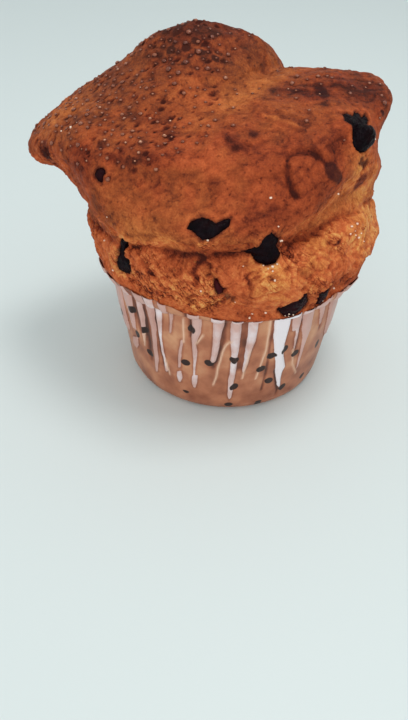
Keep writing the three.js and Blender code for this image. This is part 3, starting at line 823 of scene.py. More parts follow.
# %% [markdown]
# ### Baked crust and crumb
#
# Crust is dried starch and caramelised sugar: not quite matt, slightly translucent, and never one brown. Two
# ramps, one redder and one more golden, go from the straw of fresh crumb to the dark brown of the crown, and
# fine noise breaks them up as grains of flour and sugar do. Food looks like plaster without some light
# passing through it, so a little subsurface is on.

# %% Crust material: grain, hair cracks and freckles
crust, tree = new_material("baked_muffin_crust")
place = add(tree, "TexCoord", output="Object")
painted = {}
for name in ("browned", "golden", "stained", "torn"):
    painted[name] = add(tree, "Attribute", {"attribute_name": name}, output="Fac")
# Mottling 1.6 mm across, and flour grain 0.4 mm across, coarser than real flour so that it shows.
mottle = add(tree, "TexNoise", inputs={
    "Vector": place, "Scale": 1 / (1.6 * MM), "Detail": 5.0, "Roughness": 0.65,
})
flour = add(tree, "TexNoise", inputs={
    "Vector": place, "Scale": 1 / (0.4 * MM), "Detail": 3.0, "Roughness": 0.6,
})
mottled = add(tree, "Math", {"operation": "MULTIPLY_ADD"}, {0: mottle, 1: 0.38, 2: painted["browned"]})
floury = add(tree, "Math", {"operation": "MULTIPLY_ADD"}, {0: flour, 1: 0.3, 2: mottled})
# Torn crumb is coarser grained than crust.
centred = add(tree, "Math", {"operation": "SUBTRACT"}, {0: flour, 1: 0.5})
coarse = add(tree, "Math", {"operation": "MULTIPLY"}, {0: centred, 1: painted["torn"]})
grainy = add(tree, "Math", {"operation": "MULTIPLY_ADD"}, {0: coarse, 1: 0.7, 2: floury})
# Hair cracks of torn crumb: fine lines where a noise passes its middle value. It is measured along the
# strands of the crumb, so that the cracks come out 1.7 mm apart and three times as long, and slant as the
# strands do.
strands = add(tree, "Attribute", {"attribute_name": "strands"}, output="Vector")
threads = add(tree, "TexNoise", inputs={
    "Vector": strands, "Scale": 1 / (1.7 * MM), "Detail": 2.0, "Distortion": 0.6,
})
from_middle = add(tree, "Math", {"operation": "SUBTRACT"}, {0: threads, 1: 0.5})
apart = add(tree, "Math", {"operation": "ABSOLUTE"}, {0: from_middle})
thin_lines = add(tree, "MapRange", inputs={
    "Value": apart, "From Min": 0.005, "From Max": 0.04, "To Min": 1.0, "To Max": 0.0,
})
hair = add(tree, "Math", {"operation": "MULTIPLY"}, {0: thin_lines, 1: painted["torn"]})
cracked = add(tree, "Math", {"operation": "MULTIPLY_ADD"}, {0: hair, 1: 0.52, 2: grainy})
# Freckles 0.9 mm across, where drops of sugar or butter caught the heat.
freckles = add(tree, "TexNoise", inputs={"Vector": place, "Scale": 1 / (0.9 * MM), "Detail": 1.0})
freckled = add(tree, "MapRange", inputs={
    "Value": freckles, "From Min": 0.62, "From Max": 0.74, "To Min": -0.34, "To Max": -0.18,
})
baked = add(tree, "Math", {"operation": "ADD"}, {0: cracked, 1: freckled})
print(len(tree.nodes), "nodes say how baked each place is")

# %% Crust material: browning, juice and relief
RED_BROWNS = [  # the ends of the ramp first
    (0.0, "#db8f4f"), (1.0, "#41170f"), (0.2, "#cf7040"), (0.4, "#b95931"), (0.6, "#974324"),
    (0.8, "#6c2a18"),
]
GOLD_BROWNS = [
    (0.0, "#e6b26c"), (1.0, "#442218"), (0.2, "#d98e49"), (0.4, "#bf6d39"), (0.6, "#9a5029"),
    (0.8, "#6f3520"),
]
red, gold = [add(tree, "ValToRGB", inputs={"Fac": baked}, stops=stops) for stops in (RED_BROWNS, GOLD_BROWNS)]
# A crack is redder than the crumb beside it.
how_gold = add(tree, "Math", {"operation": "MULTIPLY_ADD"}, {0: hair, 1: -1.0, 2: painted["golden"]})
browning = add(tree, "Mix", {"data_type": "RGBA"}, {0: how_gold, 6: red, 7: gold}, output=2)
with_juice = {0: painted["stained"], 6: browning, 7: linear("#2a1113")}
juicy = add(tree, "Mix", {"data_type": "RGBA"}, with_juice, output=2)
coarse_relief = add(tree, "Bump", inputs={"Height": mottle, "Strength": 0.5, "Distance": 0.5 * MM})
fine_relief = add(tree, "Bump", inputs={
    "Height": flour, "Strength": 0.5, "Distance": 0.25 * MM, "Normal": coarse_relief,
})
relief = add(tree, "Bump", {"invert": True}, {
    "Height": hair, "Strength": 0.6, "Distance": 0.35 * MM, "Normal": fine_relief,
})
shader = add(tree, "BsdfPrincipled", inputs={
    "Base Color": juicy,
    "Roughness": 0.65,
    "IOR": 1.45,
    "Specular IOR Level": 0.09,
    "Subsurface Weight": 0.1,
    "Subsurface Radius": (1.0, 0.45, 0.2),
    "Subsurface Scale": 1.0 * MM,
    "Normal": relief,
})
add(tree, "OutputMaterial", inputs={"Surface": shader})
print(len(tree.nodes), "nodes in the crust")

# %% The finished crumb
paint(crumb, "browned", brown)
paint(crumb, "golden", np.clip(golden, 0, 1))
paint(crumb, "stained", np.clip(stain, 0, 1))
hairy = torn * (1 - 0.4 * baked_rim) * (0.16 + 0.7 * frayed) * (1 - 0.5 * bell(around - 80, 35))
paint(crumb, "torn", np.clip(hairy + 0.25 * roll * (1 - torn), 0, 1))
paint(crumb, "strands", twisted(skin, STRAND_SLOPE) / STRAND_STRETCH * MM)
finished(crumb, "muffin_crumb", crust, ["crumb"])

# %% [markdown]
# ## Sugar beads
#
# Coarse sugar was strewn on the batter before baking. It melted into small amber beads that sit half sunk in
# the crust, close together on the crown's front and on the left flank. Instances would be light, but an
# export needs real meshes. Instances would be lighter, but every bead is a small flattened ball in one mesh,
# with a number for how high on its bead a point is.

# %% Bead meshes
bm = bmesh.new()
tint = bm.verts.layers.float.new("tint")
for hit, normal, radius in bead_feet:
    turn = normal.to_track_quat("Z", "Y").to_matrix().to_4x4()
    flat = Matrix.Diagonal((1, chance.uniform(0.65, 1.0), 0.6, 1))
    matrix = Matrix.Translation(hit + normal * radius * 0.05 * MM) @ turn @ flat
    made = bmesh.ops.create_icosphere(bm, subdivisions=2, radius=radius * MM, matrix=matrix)["verts"]
    # How much painted highlight this bead's top gets.
    clear = 0.55 + 0.52 * chance.random() ** 1.6
    scorched = math.exp(-(((hit.x / MM + 11) / 7) ** 2) - ((hit.y / MM - 5) / 6) ** 2)
    for v in made:
        # Height on the bead times its highlight: the ramp paints shade at the foot and a highlight on top;
        # beads near the crown's tip are darker, where they scorched.
        height = (v.co - hit).dot(normal) / (radius * MM) / 0.65
        v[tint] = height * clear - 0.3 * scorched
print("points in the beads:", len(bm.verts))

# %% [markdown]
# ### Melted sugar
#
# Melted sugar is caramel glass: amber, smooth and glossy, with an IOR of about 1.5. Real transmission on
# beads a millimetre wide costs much and shows little, so the bead's colour runs with its height: a dark foot,
# which is painted shade, the brown of the crust round its waist, and a pale top, which is a painted
# highlight.
# Beads near the crown's tip are darker all over, where they scorched.

# %% Sugar bead material
sugar, tree = new_material("melted_sugar")
tinted = add(tree, "Attribute", {"attribute_name": "tint"}, output="Fac")
# The ramp paints shade at a bead's foot and a highlight at its top.
amber = add(tree, "ValToRGB", inputs={"Fac": tinted}, stops=[
    (0.0, "#4d2014"), (1.0, "#e6bfa4"), (0.45, "#7a3f29"), (0.82, "#965a3e"), (0.92, "#b9805f"),
])
shader = add(tree, "BsdfPrincipled", inputs={
    "Base Color": amber, "Roughness": 0.2, "IOR": 1.5, "Specular IOR Level": 0.35,
})
add(tree, "OutputMaterial", inputs={"Surface": shader})
finished(bm, "sugar_beads", sugar)

# %% [markdown]
# ## Berries
#
# The berries burst and dried in the oven: blue-black, wrinkled skins with a moist shine. Each body starts as
# a thick slice with the outline of its window, is remeshed and smoothed into a soft lump, and is then lifted
# to follow the crust round it, a little sunk at its edge and bulging in the middle.

# %% Berry bodies
BERRY_VOXEL = 0.22 * MM
BERRY_DEPTH = 2.6
BERRY_SPREAD = 1.12  # how much wider the slice is than its window
SUNK = 0.2


def berry_body(body):
    """A wrinkled lump with a body's outline, set into the crust, as a bmesh."""
    middle, out, bulge, outline = body
    out, across, upward = plane_of(out)
    bm = bmesh.new()
    spread = [(x * BERRY_SPREAD, y * BERRY_SPREAD) for x, y in outline]
    corners = [np.array(middle) + across * x + upward * y for x, y in spread]
    face = bm.faces.new([bm.verts.new(corner * MM) for corner in corners])
    back = bmesh.ops.extrude_face_region(bm, geom=[face])["geom"]
    for v in (g for g in back if isinstance(g, bmesh.types.BMVert)):
        v.co -= Vector(out) * BERRY_DEPTH * MM
    bmesh.ops.recalc_face_normals(bm, faces=bm.faces)
    bm = remeshed(bm, BERRY_VOXEL, 5)
    points = read_points(bm)
    depth = inside_by(points, body)
    share = np.clip(depth / max(depth.max(), 0.1), 0, 1)
    raised = bulge * np.sqrt(1 - (1 - share) ** 2) - SUNK
    level = np.zeros(len(points))
    for i, point in enumerate(points):
        hit = plain_tree.ray_cast(Vector(point + out * 8) * MM, Vector(-out))[0]
        level[i] = (np.array(hit) / MM - middle) @ out if hit else 0.0
    x, y = (points - middle) @ across, (points - middle) @ upward
    terms = np.stack([np.ones(len(x)), x, y, x * x, x * y, y * y], axis=1)
    smooth_level = terms @ np.linalg.lstsq(terms, level, rcond=None)[0]
    points += out * (smooth_level + raised)[:, None]
    write_points(bm, points)
    outward = np.array([v.normal for v in bm.verts])
    folds = np.clip(1 - 3 * np.abs(grain(points, 1.5, 4.4)), 0, 1)
    move = 0.14 * grain(points, 2.2, 2.9) - 0.16 * folds + 0.08 * grain(points, 0.7, 6.1)
    write_points(bm, points + outward * move[:, None])
    return bm


print("a berry is cut", BERRY_DEPTH, "mm deep and sunk", SUNK, "mm")

# %% [markdown]
# ### Berry skin
#
# A baked berry is almost black, with a bluish bloom and a moist shine, and dark red where its skin has split.
# A low roughness gives the shine. The specular level is kept low, because the bright sky would turn black
# skin grey.

# %% Berry skin
berry, tree = new_material("baked_berry_skin")
place = add(tree, "TexCoord", output="Object")
# Bloom and juice in patches 1.5 mm across.
patches = add(tree, "TexNoise", inputs={"Vector": place, "Scale": 1 / (1.5 * MM), "Detail": 3.0})
skin_colour = add(tree, "ValToRGB", inputs={"Fac": patches}, stops=[
    (0.3, "#020304"), (0.75, "#0b0d13"), (0.5, "#040509"),
])
# Where the skin has split, the flesh under it shows dark red.
split = add(tree, "Attribute", {"attribute_name": "split"}, output="Fac")
flesh = add(tree, "Mix", {"data_type": "RGBA"}, {0: split, 6: skin_colour, 7: linear("#3b1015")}, output=2)
pores = add(tree, "TexNoise", inputs={"Vector": place, "Scale": 1 / (0.4 * MM), "Detail": 2.0})
relief = add(tree, "Bump", inputs={"Height": pores, "Strength": 0.7, "Distance": 0.3 * MM})
shader = add(tree, "BsdfPrincipled", inputs={
    "Base Color": flesh, "Roughness": 0.26, "IOR": 1.45, "Specular IOR Level": 0.045, "Normal": relief,
})
add(tree, "OutputMaterial", inputs={"Surface": shader})
print(len(tree.nodes), "nodes in the berry skin")

# %% The eleven berries
berry_trees = []
SPLIT = {"berry_collar": 0.9, "berry_rim_front": 0.3, "berry_rim_right": 0.3, "berry_lip": 0.3}
for name in berry_names:
    whole = bmesh.new()
    for body in BODIES[name]:
        part = bpy.data.meshes.new("part")
        lump = berry_body(body)
        lump.to_mesh(part)
        lump.free()
        whole.from_mesh(part)
        bpy.data.meshes.remove(part)
    points = read_points(whole)
    berry_trees.append(BVHTree.FromBMesh(whole))
    paint(whole, "split", np.clip(SPLIT.get(name, 0.1) * (1 + grain(points, 1.2, 5.5)), 0, 1))
    finished(whole, name.replace("berry", "baked_berry"), berry, [name])

# %% [markdown]
# ## Sugar crystals and crumbs
#
# Some of the sugar never melted: white grains cling to the moist collar and sparkle. Where the cap tore off,
# crumbs hang on the lip and in the crease. Both are real meshes of a few dozen faces each, dropped on the
# crust along a ray.

# %% Sugar crystals
STREWN_CRYSTALS = 36
CRYSTALS = [  # azimuth, height
    (56, 46.2), (53, 44.6), (58, 42.3), (52, 46.4), (54, 45.2), (55.5, 43.6), (50, 45.4), (57, 44.2),
    (16, 48.9), (3, 44.1), (13, 43.3), (14, 41.6), (1, 36.2), (8, 32.5), (13, 32.8), (12, 56.4), (10, 44.2),
    (-9, 50.4), (7, 31.9),
]
ON_BERRIES = [
    (11.4, 43.9), (13.1, 44.1), (14.8, 44.4), (21, 31.6), (22.4, 31.3), (23.8, 31.8), (22, 32.2), (37, 33),
]

chance = random.Random(5)
CRYSTALS += [(chance.uniform(-180, 180), chance.uniform(31, 62)) for _ in range(STREWN_CRYSTALS)]
bm = bmesh.new()
for azimuth, height in CRYSTALS + ON_BERRIES:
    spot, out = outermost(azimuth, height, berry_trees)
    size = chance.uniform(0.26, 0.5)
    turn = Matrix.Rotation(chance.uniform(0, 3), 4, "Z") @ Matrix.Rotation(chance.uniform(0, 3), 4, "X")
    middle = Matrix.Translation(Vector(spot + out * size * 0.25) * MM)
    matrix = middle @ turn @ Matrix.Diagonal((1, 0.8, 0.7, 1))
    bmesh.ops.create_cube(bm, size=size * MM, matrix=matrix)
bmesh.ops.bevel(bm, geom=bm.edges, offset=0.05 * MM, segments=1, profile=0.5, affect="EDGES", material=-1)
print(len(CRYSTALS + ON_BERRIES), "crystals")

# %% Crystal material: white sugar is clear, but its many faces make it look white.
crystal, tree = new_material("white_sugar")
shader = add(tree, "BsdfPrincipled", inputs={
    "Base Color": linear("#efcfb8"), "Roughness": 0.12, "IOR": 1.56, "Coat Weight": 0.5,
})
add(tree, "OutputMaterial", inputs={"Surface": shader})
finished(bm, "sugar_crystals", crystal)

# %% Crumbs
LOOSE_CRUMBS = 150
crease_azimuths, crease_heights = zip(*CREASE)
bm = bmesh.new()
for i in range(LOOSE_CRUMBS):
    azimuth = chance.uniform(-180, 180)
    height = np.interp(azimuth, crease_azimuths, crease_heights) + chance.gauss(0, 1.6)
    if i % 3 == 0:
        height = chance.uniform(31.5, 45)
    spot, _ = outermost(azimuth, height)
    size = 0.14 + 0.22 * chance.random() ** 2
    matrix = Matrix.Translation(Vector(spot) * MM) @ Matrix.Diagonal((1, 1, 0.75, 1))
    made = bmesh.ops.create_icosphere(bm, subdivisions=2, radius=size * MM, matrix=matrix)["verts"]
    for v in made:
        away = v.co - Vector(spot) * MM
        v.co += away * 0.6 * noise.noise(v.co / (0.35 * MM))
print(LOOSE_CRUMBS, "crumbs")

# %% Crumb material: the same baked crumb, each grain its own brown.
toasted, tree = new_material("toasted_crumbs")
place = add(tree, "TexCoord", output="Object")
# One tint per crumb: a noise 3 mm across.
tints = add(tree, "TexNoise", inputs={"Vector": place, "Scale": 1 / (3 * MM), "Detail": 2.0})
toast = add(tree, "ValToRGB", inputs={"Fac": tints}, stops=[
    (0.3, "#bd7440"), (0.7, "#8a4426"), (0.5, "#a85c33"),
])
shader = add(tree, "BsdfPrincipled", inputs={
    "Base Color": toast, "Roughness": 0.7, "IOR": 1.45, "Specular IOR Level": 0.12,
})
add(tree, "OutputMaterial", inputs={"Surface": shader})
finished(bm, "loose_crumbs", toasted)

# %% [markdown]
# ## The paper case
#
# Baking paper is pleated in a press. Where crumb and grease reached it, the paper turned pink-brown and
# clings; where a pleat stands off, it stayed white: tongues that are wide at the rim and run out towards the
# foot. A lathe profile spun round the axis gives the cup, and each tongue lifts its points.

# %% Paper cup
WALL = [(0, 0), (12, 0), (22.0, 0), (23.0, 0.35), (23.8, 1.2), (24.3, 2.6), (24.6, 5.0)]
WALL_TOP = (27.7, 29.2)
WALL_ROWS = 44
PAPER = 0.14 * MM
PLEATS = 48
TURNS = PLEATS * 11

rows = [np.array(WALL[-1]) + (np.array(WALL_TOP) - WALL[-1]) * i / WALL_ROWS for i in range(1, WALL_ROWS + 1)]
paper = bmesh.new()
line = [paper.verts.new((0, -r * MM, z * MM)) for r, z in WALL + rows]
edges = [paper.edges.new(pair) for pair in zip(line[:-1], line[1:])]
bmesh.ops.spin(paper, geom=line + edges, axis=(0, 0, 1), angle=math.tau, steps=TURNS, use_merge=True)
bmesh.ops.remove_doubles(paper, verts=paper.verts, dist=1e-7)
bmesh.ops.recalc_face_normals(paper, faces=paper.faces)
print("paper cup:", len(paper.faces), "faces")

# %% The rim follows the crumb where the crumb carried it up
wall = read_points(paper)
around = azimuths(wall)
rise = np.clip((wall[:, 2] - WALL[-1][1]) / (WALL_TOP[1] - WALL[-1][1]), 0, 1)
carried = by_azimuth(PAPER_RISE)
wall[:, 2] += carried * eased(rise, 0.55, 1)
radius = np.hypot(wall[:, 0], wall[:, 1])
out = wall / np.maximum(radius, 1e-6)[:, None] * np.array([1, 1, 0])
pushed = np.zeros(len(wall))
for i in np.flatnonzero(wall[:, 2] > 28.6):
    near = [outermost(around[i] + aside, wall[i, 2])[0] for aside in (-4, -2, 0, 2, 4)]
    reach = [math.hypot(*place[:2]) for place in near]
    pushed[i] = max(0.0, 0.5 * max(reach) + 0.5 * sum(reach) / 5 + 0.1 - radius[i])
wall += out * pushed[:, None]
print("the rim is pushed out by up to", round(float(pushed.max()), 2), "mm")

# %% Dry tongues, folds and creases
TONGUES = [  # how white, and its outline as azimuths and heights
    (0.3, [(-76, 36), (-64, 36), (-63, 21), (-61.5, 17), (-63, 14), (-70, 14), (-74, 21)]),
    (0.4, [(-61.5, 36), (-54, 36), (-52.5, 27), (-51.8, 21.3), (-52.3, 17.5), (-55.5, 17.2), (-57, 22),
        (-60, 25)]),
    (0.3, [(-59.5, 13.3), (-52.5, 15.2), (-53.7, 12.4), (-57, 10.2), (-60, 11.2)]),
    (0.5, [(-48.4, 36), (-46.4, 36), (-44.5, 27.7), (-43.8, 23), (-44.5, 18.3), (-47, 14.6), (-46.8, 21.6),
        (-47.6, 26)]),
    (0.35, [(-41.6, 36), (-36.2, 36), (-36.3, 22.6), (-37, 16.4), (-37.7, 12.3), (-39.9, 7.7), (-41.5, 7.2),
        (-40.1, 14.9), (-39.5, 22.4), (-41, 27)]),
    (0.6, [(-36, 36), (-30.7, 36), (-32, 25.3), (-33.3, 20.3), (-33.3, 17.8), (-32.5, 13.6), (-31.5, 10.5),
        (-32.4, 9.6), (-33.8, 9.3), (-34.5, 13.8), (-35, 18.4), (-35.1, 22.3), (-35.4, 27)]),
    (0.35, [(-29.4, 36), (-25.2, 36), (-25.5, 29), (-26.4, 26.5), (-27.6, 22.4), (-28.4, 22.9),
        (-27.7, 26.8)]),
    (0.4, [(-22.8, 21.5), (-21.2, 22.3), (-22.7, 18.2), (-23.9, 12.8), (-25.3, 12.6), (-24.5, 17)]),
    (0.5, [(-26, 11.2), (-23.6, 11.9), (-23.4, 9.6), (-24.8, 7.6), (-26, 7.7), (-26.8, 9.6)]),
    (0.5, [(-17.2, 36), (-12.3, 36), (-12.4, 27.7), (-13, 25), (-14.1, 23.2), (-15.1, 21.2), (-14.6, 19.4),
        (-15.3, 16.2), (-16.5, 11.4), (-17.2, 11.3), (-16.9, 16), (-16.9, 21), (-17.3, 23.4), (-17, 27.2)]),
    (0.5, [(-17.8, 11), (-15, 11.7), (-15, 9.6), (-16.3, 7.2), (-17.4, 7.1), (-18, 8.8)]),
    (0.55, [(-7.8, 36), (-2.2, 36), (-2.6, 27.6), (-3.7, 24), (-4.4, 21), (-6, 17.1), (-7.4, 16.1),
        (-8.4, 16.9), (-7.6, 20.8), (-7.2, 24.4)]),
    (0.55, [(0, 36), (4.9, 36), (4.9, 25.6), (4.7, 21.1), (4.6, 17.4), (4.2, 13.5), (3.5, 9.4), (3, 5.2),
        (2.1, 3.7), (0.9, 5.9), (0.9, 10.1), (1.3, 14.8), (1.6, 18.7), (1, 21.8), (0.3, 24.2)]),
    (0.6, [(7.8, 36), (12.3, 36), (12.3, 26.2), (12, 23.2), (10.8, 20.3), (10, 17.2), (9, 14.6), (7.8, 13),
        (7.5, 14.7), (7.9, 18), (7.9, 21), (8.1, 24)]),
    (1.0, [(18.3, 36), (28.2, 36), (28, 26.7), (27.6, 23.2), (27.2, 20.6), (28.2, 17), (31.2, 12.7),
        (30.2, 11.2), (30.2, 8.5), (31.2, 5.1), (29, 6.6), (25.4, 12.8), (22.3, 19.7), (20.2, 24.2)]),
    (0.55, [(29.1, 36), (34.1, 36), (34.2, 26.6), (33.8, 24.4), (34.3, 21.3), (34.5, 17.5), (33.8, 17.6),
        (32.7, 21), (32.2, 24), (30.1, 23.9), (29, 26)]),
    (0.4, [(35.4, 36), (41.3, 36), (41.7, 25.5), (41.8, 22.5), (41.1, 17.5), (41.1, 11), (40.3, 8.9),
        (39.5, 12.5), (39, 16.5), (38.2, 19.8), (35.9, 23.4), (35.2, 26.4)]),
    (0.4, [(43.5, 36), (48.4, 36), (50, 26.3), (50.7, 21.1), (49.7, 21.4), (46.6, 26)]),
    (0.3, [(51, 36), (61, 36), (67, 23), (69, 18), (66, 13), (62, 15.6), (57.6, 21.2)]),
]
# Each fold is pressed in a little and darkened in the material: painted shade.
SHADED_FOLDS = [  # half its width in mm, and its path
    (0.45, [(-36.4, 35), (-35.8, 26.2), (-35, 21.2), (-34.8, 16.4), (-34.4, 12)]),
    (0.6, [(-1.6, 35), (-2.5, 23.5), (-4.5, 18.5), (-6.9, 15)]),
    (0.7, [(6.2, 35), (6.6, 23.5), (6.3, 19.2), (5.7, 14.8)]),
    (0.3, [(18.5, 35), (19.6, 21.6), (20.1, 16.9), (20.1, 10.2), (19.5, 6.8)]),
    (0.3, [(25.2, 12.4), (28, 7.2), (30.6, 4.1)]),
    (0.3, [(34.9, 35), (34.6, 25.9), (34.9, 22.2), (35.6, 17.4)]),
    (0.5, [(49.9, 35), (51, 24), (52.1, 19.8)]),
    (0.7, [(-52.5, 35), (-51, 26), (-49.2, 21.5), (-48.5, 18.1)]), (0.3, [(-17.9, 35), (-17.9, 23.3)]),
    (0.8, [(-44, 35), (-43, 24), (-42.6, 17), (-43.5, 11)]),
]
# Each crease stands out a little and is painted lighter on top: a painted highlight.
CREASES = [
    [(1.2, 23.6), (-1.3, 22.3), (-2.9, 19.8), (-4.1, 16.3), (-5.3, 11.9), (-6.7, 9.1)],
    [(-11.7, 24.6), (-13.5, 22.9), (-15, 21.6)], [(-44.8, 19.1), (-47, 14.4)],
    [(33.8, 17.6), (35.9, 12.7), (41, 8.2)], [(10.2, 20.9), (8.9, 15.9), (7.9, 11.5)],
    [(-32.6, 13.6), (-31.2, 9)], [(17.6, 29), (17.9, 20), (15, 11)], [(-21, 28), (-21.2, 21)],
]
print(len(TONGUES), "tongues in front")

# %% More tongues and folds round the back
chance = random.Random(21)
start = 76.0
while start < 280:
    width, low = chance.uniform(2.5, 8), chance.uniform(5, 23)
    lean, waist = chance.uniform(-3, 4), low + (29 - low) * chance.uniform(0.3, 0.6)
    left, far = start + 0.4 * lean, start + lean + 0.35 * width
    tongue = [
        (start, 36), (start + width, 36), (left + 0.75 * width, waist), (far + 0.9, low + 2),
        (far + 0.5, low), (far - 0.6, low + 1.5), (left + 0.15 * width, waist),
    ]
    TONGUES.append((chance.uniform(0.3, 0.8), tongue))
    if chance.random() < 0.6:
        beside = [(start + width + 1, 35), (left + 0.75 * width + 1, waist), (far + 1.6, low + 3)]
        SHADED_FOLDS.append((chance.uniform(0.3, 0.7), beside))
    start += width + chance.uniform(1.5, 5)
print(len(TONGUES), "tongues all round")

# %% Paint the wall, and lift the tongues off it
BROAD = math.radians(1) * 26  # mm along the wall in a degree, at a radius of 26 mm


def laid_flat(path, points):
    """A path and the wall's points, in mm along the wall and up, from the path's first azimuth."""
    first = path[0][0]
    turned = ((points[:, 0] - first + 180) % 360 - 180) * BROAD
    return [((a - first) * BROAD, z) for a, z in path], np.stack([turned, points[:, 1]], axis=1)


on_paper = np.stack([around + 0.25 * grain(wall, 3, 8.1), wall[:, 2]], axis=1)
dry = np.full(len(wall), -4.0)
white, fold, crease = np.zeros((3, len(wall)))
for whiteness, outline in TONGUES:
    flat_outline, flat = laid_flat(outline, on_paper)
    inside = inside_outline(flat, flat_outline)
    white = np.where(inside > dry, whiteness, white)
    dry = np.maximum(dry, inside)
for half, path in SHADED_FOLDS:
    flat_path, flat = laid_flat(path, on_paper)
    fold = np.maximum(fold, bell(distance_to_path(flat, flat_path), half))
for path in CREASES:
    flat_path, flat = laid_flat(path, on_paper)
    crease = np.maximum(crease, bell(distance_to_path(flat, flat_path), 0.22))
stands_off = eased(dry, -0.15, 0.5) * (0.3 + 0.5 * rise - 0.4 * eased(rise, 0.8, 1))
wobble = 0.12 * grain(wall, 5, 2.0) + 0.05 * grain(wall, 2, 4.0)
off = stands_off + np.maximum(wobble, -0.05) - 0.25 * fold * (1 - eased(rise, 0.8, 0.95)) + 0.15 * crease
wall = wall + out * (off * eased(wall[:, 2], 0.2, 2.0))[:, None]
radius = np.hypot(wall[:, 0], wall[:, 1])
write_points(paper, wall)
print(len(TONGUES), "tongues stand up to", round(float(stands_off.max()), 2), "mm off the wall")

# %% Printed ovals
OVAL_TRIES, MOST_OVALS, OVAL_SPACING = 400, 62, 5
OVALS = [  # azimuth, height, lean in degrees
    (-68, 18.2, 60), (-53, 23.4, 15), (-45, 19.7, 5), (-53, 16.0, 40), (-44, 12.6, -40), (-17, 25.7, 60),
    (-21, 14.9, 15), (-9, 16.2, -30), (-22, 4.4, 0), (3, 17.9, -35), (4, 8.9, 55), (2, 2.3, 0), (19, 1.9, 10),
    (17, 14.1, 20), (23, 9.3, -30), (21.5, 17.7, 20), (28, 18.8, 60), (33, 5.2, 50), (36, 15.9, 5),
    (49, 4.7, 35), (56, 13.6, 75),
]
for _ in range(OVAL_TRIES):
    spot = (chance.uniform(66, 284), chance.uniform(2, 27), chance.uniform(-90, 90))
    near = [math.hypot((spot[0] - a) * 0.46, spot[1] - h) for a, h, _ in OVALS]
    if len(OVALS) < MOST_OVALS and min(near) > OVAL_SPACING:
        OVALS.append(spot)
OVAL_LENGTH, OVAL_WIDTH = 2.4, 1.95

ink = np.full(len(wall), -3.0)
for azimuth, height, lean in OVALS:
    across = np.radians((around - azimuth + 180) % 360 - 180) * radius
    along = wall[:, 2] - height
    cos, sin = math.cos(math.radians(lean)), math.sin(math.radians(lean))
    long_way = (across * cos + along * sin) / (OVAL_LENGTH / 2)
    short_way = (along * cos - across * sin) / (OVAL_WIDTH / 2)
    ink = np.maximum(ink, 1 - np.hypot(long_way, short_way))
for name, values in {"dry": dry, "ink": ink, "white": white, "fold": fold, "crease": crease}.items():
    paint(paper, name, values)
print(len(OVALS), "ovals")

# %% [markdown]
# ### Greaseproof baking paper
#
# Dry, it is white and matt. Soaked with butter it lets the brown crumb show through and gets a faint shine.
# How dry a point is, and how far inside a printed oval, are painted as distances to an edge rather than as
# masks, so a steep ramp gives crisp edges on a coarse mesh.

# %% Paper material: dry and soaked paper
baking_paper, tree = new_material("greaseproof_baking_paper")
place = add(tree, "TexCoord", output="Object")
painted = {}
for name in ("dry", "white", "fold", "crease", "ink"):
    painted[name] = add(tree, "Attribute", {"attribute_name": name}, output="Fac")
# Grease creeps a little unevenly, in patches 2 mm across.
creep = add(tree, "TexNoise", inputs={"Vector": place, "Scale": 1 / (2 * MM), "Detail": 3.0})
edge = add(tree, "Math", {"operation": "MULTIPLY_ADD"}, {0: creep, 1: 0.3, 2: painted["dry"]})
is_dry = add(tree, "MapRange", inputs={"Value": edge, "From Min": 0.1, "From Max": 0.21})
# Soaked paper is darker in a fold, as painted shade, and towards the foot, where most butter ran.
soak = add(tree, "TexNoise", inputs={"Vector": place, "Scale": 1 / (5 * MM), "Detail": 4.0})
height = add(tree, "SeparateXYZ", inputs={0: place}, output="Z")
drained = add(tree, "MapRange", inputs={
    "Value": height, "From Min": 0.0, "From Max": 28 * MM, "To Min": -0.1, "To Max": 0.12,
})
soaked_by = add(tree, "Math", {"operation": "ADD"}, {0: soak, 1: drained})
with_fold_shade = add(tree, "Math", {"operation": "MULTIPLY_ADD"}, {0: painted["fold"], 1: -0.42, 2: soaked_by})
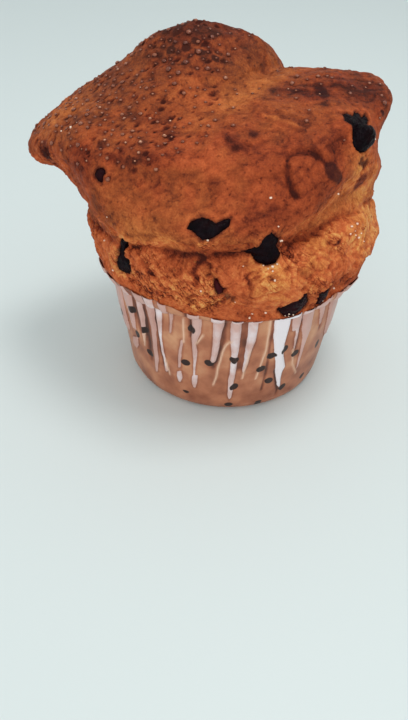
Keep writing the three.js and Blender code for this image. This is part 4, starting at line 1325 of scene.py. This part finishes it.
# Beside a tongue the paper turns back sharply and lies in its shadow, painted here as a darker band.
beside = add(tree, "MapRange", inputs={
    "Value": painted["dry"], "From Min": -0.55, "From Max": 0.0, "To Min": 0.0, "To Max": -0.2,
})
shaded = add(tree, "Math", {"operation": "ADD"}, {0: with_fold_shade, 1: beside})
soaked = add(tree, "ValToRGB", inputs={"Fac": shaded}, stops=[
    (0.0, "#4f281b"), (0.8, "#cf9670"), (0.25, "#874a32"), (0.5, "#b06e4f"),
])
# Dry paper is white, or faintly pink where grease has begun to reach it, in patches 5 mm across.
blush = add(tree, "TexNoise", inputs={"Vector": place, "Scale": 1 / (5 * MM), "Detail": 3.0})
paled = add(tree, "Math", {"operation": "MULTIPLY_ADD"}, {0: blush, 1: 0.6, 2: painted["white"]})
bare = add(tree, "ValToRGB", inputs={"Fac": paled}, stops=[
    (0.3, "#b47f70"), (1.0, "#ebe2e6"), (0.8, "#cfa89f"),
])
plain = add(tree, "Mix", {"data_type": "RGBA"}, {0: is_dry, 6: soaked, 7: bare}, output=2)
print(len(tree.nodes), "nodes tell dry paper from soaked")

# %% Paper material: creases, print and fibres
# The sharp top of a crease is painted lighter where it catches the light: a painted highlight.
crease_highlight = {0: painted["crease"], 6: plain, 7: linear("#e3b99d")}
creased = add(tree, "Mix", {"data_type": "RGBA"}, crease_highlight, output=2)
printed = add(tree, "MapRange", inputs={"Value": painted["ink"], "From Min": -0.04, "From Max": 0.09})
inked = add(tree, "Mix", {"data_type": "RGBA"}, {0: printed, 6: creased, 7: linear("#2a1510")}, output=2)
fibres = add(tree, "TexNoise", inputs={"Vector": place, "Scale": 1 / (0.5 * MM), "Detail": 2.0})
relief = add(tree, "Bump", inputs={"Height": fibres, "Strength": 0.15, "Distance": 0.1 * MM})
shader = add(tree, "BsdfPrincipled", inputs={
    "Base Color": inked, "Roughness": 0.42, "IOR": 1.45, "Specular IOR Level": 0.4, "Normal": relief,
})
add(tree, "OutputMaterial", inputs={"Surface": shader})
case = finished(paper, "pleated_paper_case", baking_paper, ["paper_case"])
thickness = case.modifiers.new("paper thickness", "SOLIDIFY")
thickness.thickness = PAPER
thickness.offset = -1
